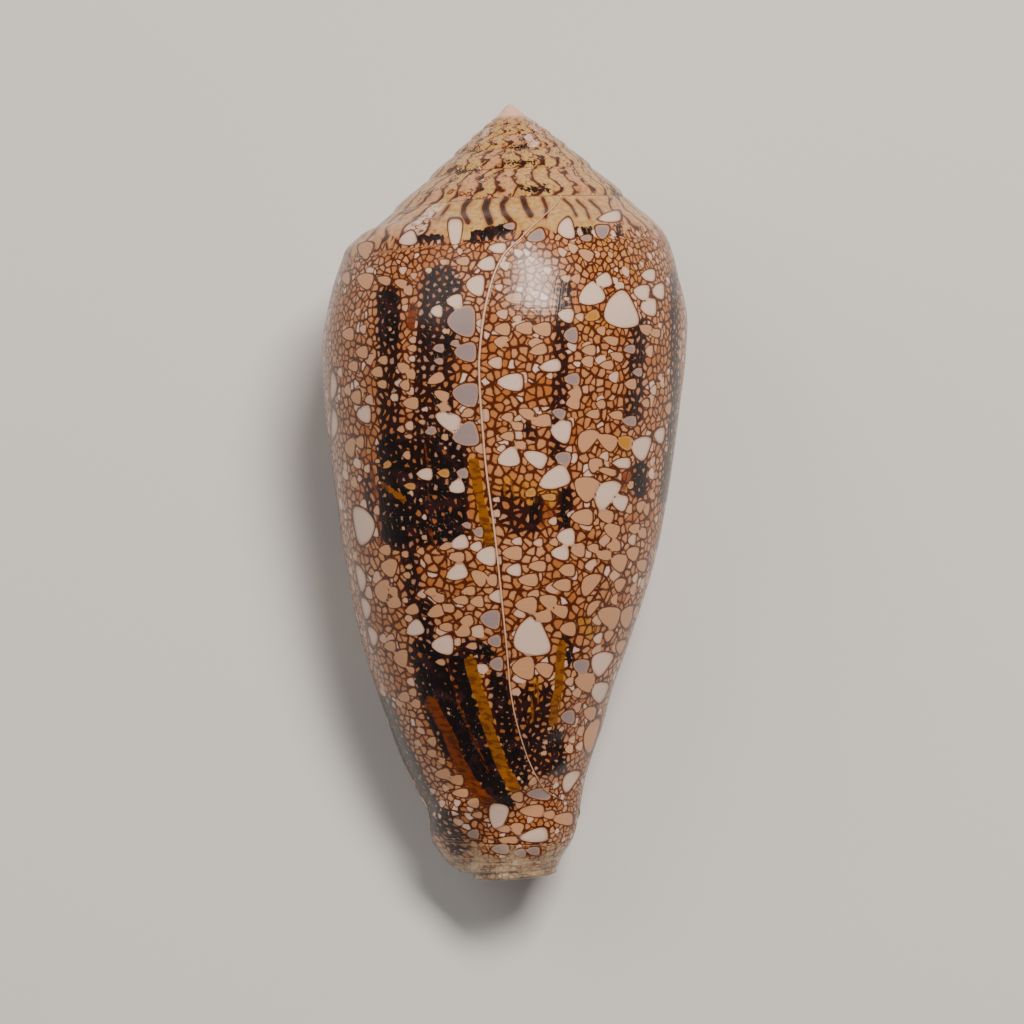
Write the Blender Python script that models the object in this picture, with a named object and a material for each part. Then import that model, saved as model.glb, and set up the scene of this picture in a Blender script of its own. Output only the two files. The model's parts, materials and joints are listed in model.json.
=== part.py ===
"""Cone shell laid on its opening side: one closed solid, grown as a widening spiral.

Metres, +Z up. The pointed end of the shell looks along +Y and its back is up.
Shell sizes below are in millimetres and in the shell's own frame: the height is
measured along the coiling axis from the tip down to the narrow end, the radius is
measured from that axis, and a turn is one full coil. Turn 0 is the left side of the
shell seen from its back, and growth runs over the back from right to left.
"""
import math

import bpy
import numpy as np
from mathutils import Matrix

MM = 0.001

# Coiling
STEPS_PER_TURN = 40          # columns in one full turn
LIP_TURN = 0.125             # where the free outer lip stands
FIRST_TURN = -6.35           # where the smallest modelled whorl starts
BODY_SHARE = 0.73            # size of the body one turn earlier
SPIRE_SHARE = 0.69           # height of the whorl seam one turn earlier
SEAM_HEIGHT = 11.45          # height of the whorl seam at turn 0
SPIRE_SLOPE = 1.10           # radius gained per millimetre of height on the spire
SPIRE_START = 0.62           # extra radius that the blunt tip gives the spire
BLUNT_HEIGHT = 2.4           # height over which the tip widens to the spire's slope
TIP_LEAN = 0.95              # how far the tip leans to the left
TIP_LEAN_HEIGHT = 4.5        # height over which that lean dies away
RIGHT_LOW = 0.028            # share by which the shoulder is lower on the right side

# Outline of the last whorl at turn 0, as height and radius
BODY_OUTLINE = (
    (15.0, 18.15), (17.1, 19.10), (20.0, 19.85), (25.0, 20.40), (30.0, 20.20), (36.0, 19.50),
    (44.0, 18.45), (52.0, 17.05), (57.0, 15.80), (62.0, 14.10), (67.0, 12.25), (71.0, 10.30),
    (73.0, 9.30), (75.0, 9.10), (76.8, 7.90), (78.2, 6.75), (79.3, 5.50), (84.0, 3.00),
)
# Outline of the narrow neck that the earlier coils left below the body
NECK_OUTLINE = (
    (10.0, 3.0), (40.0, 7.0), (53.0, 9.8), (58.0, 9.75), (62.0, 9.10), (66.0, 7.90),
    (70.0, 6.75), (73.0, 6.25), (75.0, 5.85), (77.0, 5.20), (78.2, 4.65), (80.5, 4.10),
)
# Outline of the same neck where it turns inward as the pillar beside the opening
PILLAR_OUTLINE = (
    (10.0, 3.0), (40.0, 7.0), (55.0, 8.6), (62.0, 7.50), (66.0, 6.50), (70.0, 5.30),
    (75.0, 3.60), (78.2, 2.45), (80.5, 1.80),
)

# Rows down one whorl: the ramp below the seam, then the body to the narrow end
RAMP_SHARES = (0.0, 0.30, 0.56, 0.78, 1.0)
RAMP_BULGE = (0.0, 0.018, 0.088, 0.092, 0.0)
BODY_SHARES = (
    0.0, 0.035, 0.08, 0.13, 0.185, 0.245, 0.31, 0.375, 0.44, 0.505, 0.57, 0.63, 0.69,
    0.745, 0.795, 0.84, 0.88, 0.915, 0.945, 0.968, 0.984, 0.988, 0.998, 1.0,
)
SEAM_ROW = len(RAMP_SHARES) - 1
TOP_ROW = SEAM_ROW + 1
LAST_ROW = SEAM_ROW + len(BODY_SHARES)

# Wall, opening and narrow end
WALL = 1.30                  # shell wall away from the lip
LIP_EDGE = 0.70              # wall at the free edge of the lip
LIP_TAPER = 0.07             # turns over which the wall thins to the lip
HOLLOW_TURNS = 0.80          # how far the hollow runs back from the lip
SPOUT_TURNS = 0.25           # how far the hollow is open at the narrow end
LEDGE = 4.35                 # radius of the ledge that closes the narrow end
END_SHIFT = 0.42             # how far the narrow end sits to the left of the axis
END_SLANT = 0.07             # slope of the narrow end's face, higher on the right
LIP_RETREAT = 0.14           # turns by which the lip falls back at the narrow end
SHELL_END = 80.0             # height of the narrow end

# Rest position, found from where a shell of this shape stops rolling
REST_INCLINE = 7.30          # degrees that the pointed end is raised
REST_ROLL = 1.79             # degrees turned about the coiling axis

SHELL_COLOUR = (0.62, 0.42, 0.26, 1.0)


def smooth_step(x):
    """Ease from 0 to 1 as x goes from 0 to 1."""
    x = np.clip(x, 0.0, 1.0)
    return x * x * (3.0 - 2.0 * x)


def smooth_through(stations, x):
    """Smooth curve through the (x, y) stations that makes no bumps between them."""
    px, py = np.array(stations).T
    step = np.diff(px)
    slope = np.diff(py) / step
    same_way = slope[:-1] * slope[1:] > 0.0
    total = np.where(same_way, slope[:-1] + slope[1:], 1.0)
    tangent = np.concatenate((
        slope[:1],
        np.where(same_way, 2.0 * slope[:-1] * slope[1:] / total, 0.0),
        slope[-1:],
    ))
    k = np.clip(np.searchsorted(px, x) - 1, 0, len(step) - 1)
    u = (np.clip(x, px[0], px[-1]) - px[k]) / step[k]
    rise = 3.0 * u ** 2 - 2.0 * u ** 3
    start = tangent[k] * step[k] * (u - 2.0 * u ** 2 + u ** 3)
    finish = tangent[k + 1] * step[k] * (u ** 3 - u ** 2)
    return py[k] * (1.0 - rise) + py[k + 1] * rise + start + finish


def smooth_larger(a, b, reach):
    """Larger of two values, rounded where they cross."""
    return 0.5 * (a + b + np.sqrt((a - b) ** 2 + reach ** 2))


def seam_height(turn):
    """Height of the seam where the whorl of this turn begins."""
    return SEAM_HEIGHT * SPIRE_SHARE ** (-turn)


def seam_radius(turn):
    """Radius of the seam: a blunt cone that flattens a little below the shoulder."""
    h = seam_height(turn)
    blunt = SPIRE_START * (1.0 - np.exp(-(h / BLUNT_HEIGHT) ** 2))
    shoulder = 0.030 * np.clip(h - 13.0, 0.0, None) ** 2
    low = RIGHT_LOW * np.sin(math.pi * max(turn, 0.0)) ** 2
    return (SPIRE_SLOPE * h + blunt - shoulder) * (1.0 - low)


def neck_radius(turn, height):
    """The neck narrows to the inner pillar on the side where the opening is."""
    outside = smooth_step((turn - (LIP_TURN - 1.0)) / 0.38)
    pillar = smooth_through(PILLAR_OUTLINE, height)
    return pillar + (smooth_through(NECK_OUTLINE, height) - pillar) * outside


def outer_radius(turn, height):
    """Radius of the shell's outer skin below the seam of the next whorl."""
    size = BODY_SHARE ** (-turn)
    low = RIGHT_LOW * np.sin(math.pi * turn) ** 2 * smooth_step((27.0 - height / size) / 7.0)
    body = size * (1.0 - low) * smooth_through(BODY_OUTLINE, height / size)
    return smooth_larger(body, neck_radius(turn, height), 0.8)


def close_height(turn):
    """Height of the lower end of the hollow, which rises away from the spout."""
    back = (LIP_TURN - SPOUT_TURNS - turn) / (HOLLOW_TURNS - SPOUT_TURNS)
    return SHELL_END - 28.0 * math.sqrt(smooth_step(back))


def row_height(turn, row, hidden):
    """Height of a body row: close together at the shoulder and at the narrow end.

    Rows that run into the hollow spread out evenly instead.
    """
    share = BODY_SHARES[row - TOP_ROW]
    first = seam_height(turn + 1.0) + 1.45 * WALL
    last = SHELL_END
    if hidden:
        even = (row - TOP_ROW) / (LAST_ROW - TOP_ROW)
        share += (even - share) * smooth_step((LIP_TURN - 1.0 - turn) / 0.15)
        last = close_height(turn + 1.0)
    return first + share * (last - first)


def skin_point(turn, row, hidden):
    """Turn, height and radius of one outer-skin point.

    A hidden point belongs to an earlier whorl, inside the hollow, where the rows
    end at the lower end of the hollow of the whorl that covers it.
    """
    top_h, top_r = seam_height(turn), seam_radius(turn)
    low_h, low_r = seam_height(turn + 1.0), seam_radius(turn + 1.0)
    if row <= SEAM_ROW:
        share = RAMP_SHARES[row]
        swell = RAMP_BULGE[row] * (0.35 + 0.65 * smooth_step((turn + 0.6) / 0.6))
        h = top_h + share * (low_h - top_h) - swell * (low_r - top_r)
        r = top_r + share * (low_r - top_r) + swell * (low_h - top_h)
        return turn, h, r
    h = row_height(turn, row, hidden)
    share = BODY_SHARES[row - TOP_ROW]
    turn = turn - LIP_RETREAT * np.clip((share - 0.66) / 0.34, 0.0, 1.0) ** 2
    r = outer_radius(turn, h)
    r = r + (low_r - outer_radius(turn, low_h)) * (1.0 - smooth_step((h - low_h) / 9.0))
    if row > LAST_ROW - 3:
        ledge = LEDGE - (0.45 if row == LAST_ROW else 0.0)
        r = np.minimum(r, ledge)
    return turn, h, r


def inner_point(turn, row):
    """Turn, height and radius of one point on the inner face of the outer wall."""
    earlier_turn, h, r_earlier = skin_point(turn - 1.0, row, True)
    skin_turn = earlier_turn + 1.0
    slope = outer_radius(skin_turn, h + 0.5) - outer_radius(skin_turn, h - 0.5)
    wall = LIP_EDGE + (WALL - LIP_EDGE) * smooth_step((LIP_TURN - turn) / LIP_TAPER)
    r_in = outer_radius(skin_turn, h) - wall * math.sqrt(1.0 + min(abs(slope), 1.2) ** 2)
    at_end = smooth_step((h - SHELL_END + 3.2) / 3.0)
    r_in = r_in + (min(r_in, LEDGE - 1.15) - r_in) * at_end
    opened = smooth_step((turn - (LIP_TURN - SPOUT_TURNS)) / 0.10)
    narrowed = 1.0 - np.clip((close_height(turn) - h) / 7.0, 0.0, 1.0)
    room = max(r_in - r_earlier, 0.25) * (1.0 - narrowed ** 2 * (1.0 - opened))
    return skin_turn, h, r_earlier + room


def place(point):
    """Shell frame to metres: tip at the origin, axis down -Y, back along +Z."""
    turn, h, r = point
    angle = math.pi + 2.0 * math.pi * turn
    near_end = smooth_step((h - SHELL_END + 5.5) / 5.5)
    x = r * math.cos(angle)
    h = h - END_SLANT * (x + LEDGE) * near_end
    x = x - TIP_LEAN * math.exp(-h / TIP_LEAN_HEIGHT) - END_SHIFT * near_end
    return (x * MM, -h * MM, r * math.sin(angle) * MM)


class Skin:
    """Collects the points and faces of the one closed solid."""

    def __init__(self):
        self.points = []
        self.faces = []
        self.index = {}

    def add(self, key, point):
        """Store a point once under its name and give back its number."""
        if key not in self.index:
            self.index[key] = len(self.points)
            self.points.append(place(point))
        return self.index[key]

    def face(self, *corners):
        """Add a face: repeated corners are left out and a quad is cut the short way."""
        kept = [c for i, c in enumerate(corners) if c != corners[i - 1]]
        if len(kept) == 3:
            self.faces.append(kept[::-1])
        elif len(kept) == 4:
            a, b, c, d = kept
            across_ac = math.dist(self.points[a], self.points[c])
            across_bd = math.dist(self.points[b], self.points[d])
            if across_ac <= across_bd:
                self.faces += [(c, b, a), (d, c, a)]
            else:
                self.faces += [(d, b, a), (d, c, b)]


LIP = round(LIP_TURN * STEPS_PER_TURN)
FIRST = round(FIRST_TURN * STEPS_PER_TURN)
HOLLOW_END = LIP - round(HOLLOW_TURNS * STEPS_PER_TURN)
SPOUT_END = LIP - round(SPOUT_TURNS * STEPS_PER_TURN)


def skin_corner(skin, column, row):
    """Outer-skin point; a whorl's lower seam is the next whorl's upper seam."""
    if row == SEAM_ROW and column + STEPS_PER_TURN <= LIP:
        return skin_corner(skin, column + STEPS_PER_TURN, 0)
    hidden = column < LIP - STEPS_PER_TURN and row > SEAM_ROW
    point = skin_point(column / STEPS_PER_TURN, row, hidden)
    return skin.add(("skin", column, row), point)


def inner_corner(skin, column, row):
    """Inner face of the wall; it meets the earlier whorl above and, past the spout, below."""
    closed_below = row == LAST_ROW and column <= SPOUT_END
    if row == TOP_ROW or closed_below:
        return skin_corner(skin, column - STEPS_PER_TURN, row)
    return skin.add(("inner", column, row), inner_point(column / STEPS_PER_TURN, row))


def sheet(skin, corner, columns, rows, flip):
    """Faces of a grid of named points."""
    for column in columns:
        for row in rows:
            quad = [
                corner(skin, column, row),
                corner(skin, column, row + 1),
                corner(skin, column + 1, row + 1),
                corner(skin, column + 1, row),
            ]
            skin.face(*(reversed(quad) if flip else quad))


def add_outside(skin):
    """Spire whorls above the last one, then the whole last whorl down to the narrow end."""
    open_column = LIP - STEPS_PER_TURN
    sheet(skin, skin_corner, range(FIRST, open_column), range(0, SEAM_ROW), False)
    sheet(skin, skin_corner, range(open_column, LIP), range(0, LAST_ROW), False)


def add_tip(skin):
    """Small dome over the first whorl."""
    tip = skin.add("tip", (0.0, 0.0, 0.0))
    last = FIRST + STEPS_PER_TURN - 1
    for column in range(FIRST, last):
        skin.face(tip, skin_corner(skin, column, 0), skin_corner(skin, column + 1, 0))
    hinge = skin_corner(skin, last, 0)
    for row in range(SEAM_ROW, 0, -1):
        skin.face(hinge, skin_corner(skin, FIRST, row), skin_corner(skin, FIRST, row - 1))
    skin.face(tip, hinge, skin_corner(skin, FIRST, 0))


def add_hollow(skin):
    """Inner face of the wall, the earlier whorl it covers, and the blind end."""
    rows = range(TOP_ROW, LAST_ROW)
    sheet(skin, inner_corner, range(HOLLOW_END, LIP), rows, True)
    earlier = range(HOLLOW_END - STEPS_PER_TURN, LIP - STEPS_PER_TURN)
    sheet(skin, skin_corner, earlier, rows, False)
    for row in rows:
        skin.face(
            inner_corner(skin, HOLLOW_END, row),
            inner_corner(skin, HOLLOW_END, row + 1),
            skin_corner(skin, HOLLOW_END - STEPS_PER_TURN, row + 1),
            skin_corner(skin, HOLLOW_END - STEPS_PER_TURN, row),
        )


def add_lip(skin):
    """Free edge of the outer lip, from the seam down to the spout.

    The inner and outer rows differ in height, so each triangle takes the shorter
    of the two ways across.
    """
    outer = [skin_corner(skin, LIP, row) for row in range(0, LAST_ROW + 1)]
    inner = [inner_corner(skin, LIP, row) for row in range(TOP_ROW, LAST_ROW + 1)]
    i, j = 0, 0
    while i + 1 < len(outer) or j + 1 < len(inner):
        along_outer = along_inner = math.inf
        if i + 1 < len(outer):
            along_outer = math.dist(skin.points[outer[i + 1]], skin.points[inner[j]])
        if j + 1 < len(inner):
            along_inner = math.dist(skin.points[inner[j + 1]], skin.points[outer[i]])
        if along_outer <= along_inner:
            skin.face(inner[j], outer[i], outer[i + 1])
            i += 1
        else:
            skin.face(inner[j], outer[i], inner[j + 1])
            j += 1


def add_narrow_end(skin):
    """Rim of the spout and the small end face of the pillar."""
    middle = skin.add("middle", (0.0, SHELL_END, 0.0))
    weld = inner_corner(skin, SPOUT_END, LAST_ROW)
    for column in range(SPOUT_END, LIP):
        here, after = column, column + 1
        skin.face(
            skin_corner(skin, here, LAST_ROW),
            inner_corner(skin, here, LAST_ROW),
            inner_corner(skin, after, LAST_ROW),
            skin_corner(skin, after, LAST_ROW),
        )
        back = here - STEPS_PER_TURN
        skin.face(
            skin_corner(skin, back, LAST_ROW),
            middle,
            skin_corner(skin, back + 1, LAST_ROW),
        )
    for column in range(LIP - STEPS_PER_TURN, SPOUT_END - 1):
        skin.face(
            skin_corner(skin, column, LAST_ROW),
            middle,
            skin_corner(skin, column + 1, LAST_ROW),
        )
    before = skin_corner(skin, SPOUT_END - 1, LAST_ROW)
    skin.face(before, middle, weld)
    skin.face(before, weld, skin_corner(skin, SPOUT_END, LAST_ROW))


def rest_matrix():
    """Turn the shell from its own frame into the way it lies on the ground."""
    roll = Matrix.Rotation(math.radians(REST_ROLL), 4, 'Y')
    incline = Matrix.Rotation(math.radians(REST_INCLINE), 4, 'X')
    return incline @ roll


def shell_mesh():
    """The closed shell, turned to rest and set down over the origin."""
    skin = Skin()
    add_outside(skin)
    add_tip(skin)
    add_hollow(skin)
    add_lip(skin)
    add_narrow_end(skin)
    turn = np.array(rest_matrix().to_3x3())
    points = np.array(skin.points) @ turn.T
    low, high = points.min(axis=0), points.max(axis=0)
    points = points - np.array([(low[0] + high[0]) / 2, (low[1] + high[1]) / 2, low[2]])
    mesh = bpy.data.meshes.new("shell")
    mesh.from_pydata(points.tolist(), [], skin.faces)
    mesh.validate()
    return mesh


def shell_material():
    """Glossy patterned lime shell, shown here as its average brown."""
    material = bpy.data.materials.new("shell")
    material.use_nodes = True
    shader = material.node_tree.nodes["Principled BSDF"]
    shader.inputs["Base Color"].default_value = SHELL_COLOUR
    shader.inputs["Roughness"].default_value = 0.3
    return material


def main():
    """Clear the file and add the one solid in its own collection."""
    for thing in list(bpy.data.objects):
        bpy.data.objects.remove(thing, do_unlink=True)
    collection = bpy.data.collections.new("shell")
    bpy.context.scene.collection.children.link(collection)
    mesh = shell_mesh()
    mesh.materials.append(shell_material())
    collection.objects.link(bpy.data.objects.new("shell", mesh))


main()
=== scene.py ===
# %% [markdown]
# # A cone shell, from its measured solid to its looks
# The solid of the shell was made first, as a plain closed form of flat facets. This lesson
# loads it as the fixed frame and lays a fine, smooth skin over the same spiral, with the
# tented pattern that the living animal painted while the shell grew.

# %% Load the frame
import json
import math

import bpy
import numpy as np
from mathutils import Matrix, Vector

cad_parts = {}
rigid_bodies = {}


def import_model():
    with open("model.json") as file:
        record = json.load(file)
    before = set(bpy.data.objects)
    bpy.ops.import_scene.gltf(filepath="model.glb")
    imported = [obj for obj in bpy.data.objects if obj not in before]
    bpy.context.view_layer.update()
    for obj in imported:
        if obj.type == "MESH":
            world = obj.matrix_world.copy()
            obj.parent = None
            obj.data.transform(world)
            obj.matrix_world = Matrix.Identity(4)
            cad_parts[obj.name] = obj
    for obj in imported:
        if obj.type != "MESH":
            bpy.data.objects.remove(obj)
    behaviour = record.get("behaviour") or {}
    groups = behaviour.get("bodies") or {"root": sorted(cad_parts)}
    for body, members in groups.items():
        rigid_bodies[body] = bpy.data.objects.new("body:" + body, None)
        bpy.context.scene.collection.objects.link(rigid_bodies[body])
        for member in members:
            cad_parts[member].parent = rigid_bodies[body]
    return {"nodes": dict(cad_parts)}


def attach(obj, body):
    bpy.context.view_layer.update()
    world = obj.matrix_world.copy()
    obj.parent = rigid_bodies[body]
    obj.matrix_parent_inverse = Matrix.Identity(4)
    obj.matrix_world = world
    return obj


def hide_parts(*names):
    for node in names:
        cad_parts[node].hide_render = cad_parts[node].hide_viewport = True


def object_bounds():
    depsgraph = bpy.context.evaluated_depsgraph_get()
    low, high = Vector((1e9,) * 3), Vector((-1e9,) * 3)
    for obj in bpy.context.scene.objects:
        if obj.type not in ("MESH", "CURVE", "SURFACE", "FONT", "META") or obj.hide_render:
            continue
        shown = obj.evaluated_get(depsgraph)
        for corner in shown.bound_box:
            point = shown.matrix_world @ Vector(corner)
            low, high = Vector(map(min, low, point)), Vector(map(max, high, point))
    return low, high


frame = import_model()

MM = 0.001
cad_low, cad_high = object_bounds()
print("CAD box in mm:", [round(v / MM, 2) for v in (*cad_low, *cad_high)])

# %% [markdown]
# ## The spiral
# A snail shell grows by adding to its lip while it turns and widens, so each coil is the
# one before it, only larger. A sculptor would carve it, a lathe can't turn it. Here it is
# worked out as a rule: the place on the spiral is a turn (one full coil is 1), and the
# height is measured down the coiling axis from the tip. Turn 0 is the left side seen from
# the shell's back. Sizes are in millimetres.

# %% Sizes of the spiral
LIP_TURN = 0.125             # where the free outer lip stands
FIRST_TURN = -6.35           # where the smallest modelled whorl starts
BODY_SHARE = 0.73            # size of the body one turn earlier
SPIRE_SHARE = 0.69           # height of the whorl seam one turn earlier
SEAM_HEIGHT = 11.45          # height of the whorl seam at turn 0
SPIRE_SLOPE = 1.10           # radius gained per millimetre of height on the spire
RAMP_OUT = 0.74              # share of a step down a ramp that goes outward
RAMP_FALL = 0.67             # share of it that goes down the axis
SPIRE_START = 0.62           # extra radius that the blunt tip gives the spire
BLUNT_HEIGHT = 2.4           # height over which the tip widens to the spire's slope
TIP_LEAN = 0.95              # how far the tip leans to the left
TIP_LEAN_HEIGHT = 4.5        # height over which that lean dies away
RIGHT_LOW = 0.028            # share by which the shoulder is lower on the right side
WALL = 1.30                  # shell wall away from the lip
LIP_EDGE = 0.70              # wall at the free edge of the lip
LIP_TAPER = 0.07             # turns over which the wall thins to the lip
HOLLOW_TURNS = 0.80          # how far the hollow runs back from the lip
SPOUT_TURNS = 0.25           # how far the hollow is open at the narrow end
LEDGE = 4.35                 # radius of the ledge that closes the narrow end
LEDGE_SHARE = 0.987          # share of the way down where the ledge starts
LEDGE_CHAMFER = 0.45         # how far its rim is rounded off
SPOUT_WALL = 1.15            # wall round the spout at the ledge
END_SHIFT = 0.42             # how far the narrow end sits to the left of the axis
END_SLANT = 0.07             # slope of the narrow end's face, higher on the right
LIP_RETREAT = 0.14           # turns by which the lip falls back at the narrow end
SHELL_END = 80.0             # height of the narrow end
TOP_GAP = 1.45 * WALL        # from the whorl seam down to the top of the hollow

# Outline of the last whorl at turn 0, as height and radius
BODY_OUTLINE = (
    (15.0, 18.15), (17.1, 19.10), (20.0, 19.85), (25.0, 20.40), (30.0, 20.20), (36.0, 19.50),
    (44.0, 18.45), (52.0, 17.05), (57.0, 15.80), (62.0, 14.10), (67.0, 12.25), (71.0, 10.30),
    (73.0, 9.30), (75.0, 9.10), (76.8, 7.90), (78.2, 6.75), (79.3, 5.50), (84.0, 3.00),
)
# Outline of the narrow neck that the earlier coils left below the body
NECK_OUTLINE = (
    (10.0, 3.0), (40.0, 7.0), (53.0, 9.8), (58.0, 9.75), (62.0, 9.10), (66.0, 7.90),
    (70.0, 6.75), (73.0, 6.25), (75.0, 5.85), (77.0, 5.20), (78.2, 4.65), (80.5, 4.10),
)
# Outline of the same neck where it turns inward as the pillar beside the opening
PILLAR_OUTLINE = (
    (10.0, 3.0), (40.0, 7.0), (55.0, 8.6), (62.0, 7.50), (66.0, 6.50), (70.0, 5.30),
    (75.0, 3.60), (78.2, 2.45), (80.5, 1.80),
)
# Swelling of the ramp between two seams, as share of the way down and share of its width
RAMP_BULGE = ((0.0, 0.0), (0.30, 0.018), (0.56, 0.088), (0.78, 0.092), (1.0, 0.0))
# Rows of the wall inside the hollow, as share of the way down
INNER_SHARES = np.array((
    0.0, 0.035, 0.08, 0.13, 0.185, 0.245, 0.31, 0.375, 0.44, 0.505, 0.57, 0.63, 0.69,
    0.745, 0.795, 0.84, 0.88, 0.915, 0.945, 0.968, 0.984, 0.988, 0.998, 1.0,
))


# %% Curves that the spiral is made of
def smooth_step(x):
    """Ease from 0 to 1 as x goes from 0 to 1: x squared times (3 - 2x)."""
    x = np.clip(x, 0.0, 1.0)
    return x * x * (3.0 - 2.0 * x)


def smooth_through(stations, x):
    """Cubic pieces through the stations, with slopes that make no bumps between them."""
    px, py = np.array(stations).T
    step = np.diff(px)
    slope = np.diff(py) / step
    same_way = slope[:-1] * slope[1:] > 0.0
    total = np.where(same_way, slope[:-1] + slope[1:], 1.0)
    inner = np.where(same_way, 2.0 * slope[:-1] * slope[1:] / total, 0.0)
    tangent = np.concatenate((slope[:1], inner, slope[-1:]))
    k = np.clip(np.searchsorted(px, x) - 1, 0, len(step) - 1)
    u = (np.clip(x, px[0], px[-1]) - px[k]) / step[k]
    rise = 3.0 * u ** 2 - 2.0 * u ** 3
    start = tangent[k] * step[k] * (u - 2.0 * u ** 2 + u ** 3)
    finish = tangent[k + 1] * step[k] * (u ** 3 - u ** 2)
    return py[k] * (1.0 - rise) + py[k + 1] * rise + start + finish


def smooth_larger(a, b, reach):
    """Larger of two values, rounded where they cross."""
    return 0.5 * (a + b + np.sqrt((a - b) ** 2 + reach ** 2))


def seam_height(turn):
    """Seam height shrinks by SPIRE_SHARE for each turn back."""
    return SEAM_HEIGHT * SPIRE_SHARE ** (-turn)


def seam_radius(turn):
    """Seam radius: slope times height, plus a blunt tip, less a little below the shoulder."""
    h = seam_height(turn)
    blunt = SPIRE_START * (1.0 - np.exp(-(h / BLUNT_HEIGHT) ** 2))
    shoulder = 0.030 * np.clip(h - 13.0, 0.0, None) ** 2
    low = RIGHT_LOW * np.sin(math.pi * np.maximum(turn, 0.0)) ** 2
    return (SPIRE_SLOPE * h + blunt - shoulder) * (1.0 - low)


def outer_radius(turn, height):
    """Body outline at the size of that turn, joined smoothly to the neck below it."""
    size = BODY_SHARE ** (-turn)
    low = RIGHT_LOW * np.sin(math.pi * turn) ** 2 * smooth_step((27.0 - height / size) / 7.0)
    body = size * (1.0 - low) * smooth_through(BODY_OUTLINE, height / size)
    outside = smooth_step((turn - (LIP_TURN - 1.0)) / 0.38)
    pillar = smooth_through(PILLAR_OUTLINE, height)
    neck = pillar + (smooth_through(NECK_OUTLINE, height) - pillar) * outside
    return smooth_larger(body, neck, 0.8)


def with_ledge(share, radius):
    """Radius at the narrow end, cut back to the ledge and a little more at its rim."""
    ledge = LEDGE - LEDGE_CHAMFER * smooth_step((share - 0.9975) / 0.0025)
    return np.where(share > LEDGE_SHARE, np.minimum(radius, ledge), radius)


def retreat(share):
    """Turns by which a growth line falls back in the lowest third, as a square."""
    return LIP_RETREAT * np.clip((share - 0.66) / 0.34, 0.0, 1.0) ** 2


def body_radius(turn, height):
    """Outer radius, drawn to the whorl seam's own radius over the top 9 mm."""
    low_h, low_r = seam_height(turn + 1.0), seam_radius(turn + 1.0)
    fade = 1.0 - smooth_step((height - low_h) / 9.0)
    return outer_radius(turn, height) + (low_r - outer_radius(turn, low_h)) * fade


def to_shell_frame(turn, height, radius):
    """Turn, height and radius to x, y, z in mm: tip at 0, axis down -Y, back along +Z."""
    angle = math.pi + 2.0 * math.pi * turn
    near_end = smooth_step((height - SHELL_END + 5.5) / 5.5)
    x = radius * np.cos(angle)
    h = height - END_SLANT * (x + LEDGE) * near_end
    x = x - TIP_LEAN * np.exp(-h / TIP_LEAN_HEIGHT) - END_SHIFT * near_end
    return np.stack(np.broadcast_arrays(x, -h, radius * np.sin(angle)), axis=-1)


# %% [markdown]
# ## How the shell lies
# The photograph shows the shell standing on its narrow end, which it can't do by itself.
# Laid down it rests on its opening side. The two angles come from the solid, and the
# place on the floor is read from the solid's highest point along Y, which is the tip.

# %% Rest position
REST_INCLINE = 7.30          # degrees that the pointed end is raised
REST_ROLL = 1.79             # degrees turned about the coiling axis


def rest_turn():
    """Roll about the coiling axis first, then the incline."""
    roll = Matrix.Rotation(math.radians(REST_ROLL), 3, 'Y')
    return np.array(Matrix.Rotation(math.radians(REST_INCLINE), 3, 'X') @ roll)


def cad_tip():
    """The solid's vertex with the largest Y, in mm."""
    mesh = frame["nodes"]["shell"].data
    co = np.zeros(len(mesh.vertices) * 3, np.float32)
    mesh.vertices.foreach_get("co", co)
    co = co.reshape(-1, 3)
    return co[co[:, 1].argmax()] / MM


REST = rest_turn()
OFFSET = cad_tip() - REST @ to_shell_frame(0.0, 0.0, 0.0)
print("Shell frame starts at", np.round(OFFSET, 2), "mm")

# %% [markdown]
# ## The skin as grids
# Each part of the skin is a grid of points: one way runs along the growth, the other way
# runs from the tip down to the narrow end. Grids that meet share the points of their
# common edge, so the skin stays closed. The grid lines follow the growth lines, and they
# lie closest on the side that shows the most, and along the old lip line there.

# %% Columns and rows
COLUMNS = 300                # grid columns in one full turn
SPIRE_ROWS = 6               # rows between two seams on the early whorls
RAMP_ROWS = 24               # rows on the last whorl's ramp
GAP_ROWS = 6                 # rows from the seam down to the top of the hollow
BODY_MIDDLE_ROWS = 200       # rows from there to the ledge at the narrow end
LIP_TURNS_AT = 0.882         # share of the way down where the old lip line turns level
SCAR_TURN = -0.2164          # where the old lip line runs on the middle of the body
WELD_ROW = RAMP_ROWS // SPIRE_ROWS

# Shape of a growth line on the back: height in mm and degrees it turns to the right. It
# bends hard at the shoulder, runs nearly straight down the body and bends again below.
GROWTH_LINE = (
    (9.0, 34.0), (13.0, 23.0), (15.0, 12.5), (17.0, 6.5), (20.0, 3.0), (24.0, 1.0), (28.0, 0.0),
    (36.0, 1.0), (45.0, 4.0), (58.0, 7.5), (65.0, 9.0), (68.5, 12.0), (70.0, 17.0), (71.0, 27.0),
    (72.5, 65.0), (74.0, 86.0), (80.0, 112.0),
)


RAMP_TOP = 9.0               # height in GROWTH_LINE of the last ramp's upper seam
RAMP_FOOT = 15.0             # height in GROWTH_LINE of its lower edge


def growth_shift(height):
    """Turns by which a growth line runs back, to the right, at that height."""
    return smooth_through(GROWTH_LINE, height) / 360.0


def follows_growth(turn):
    """1 on the back, easing to 0 at the lip and where the last whorl starts."""
    rise = smooth_step((turn - (LIP_TURN - 1.0)) / 0.56)
    fall = smooth_step((LIP_TURN - turn) / 0.215)
    return rise * fall


def spaced_by(density, x, count):
    """Points on x that lie close where the density is high: even in its running sum."""
    total = np.concatenate(([0.0], np.cumsum(0.5 * (density[1:] + density[:-1]))))
    return np.interp(np.linspace(0.0, total[-1], count + 1), total, x)


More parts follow.
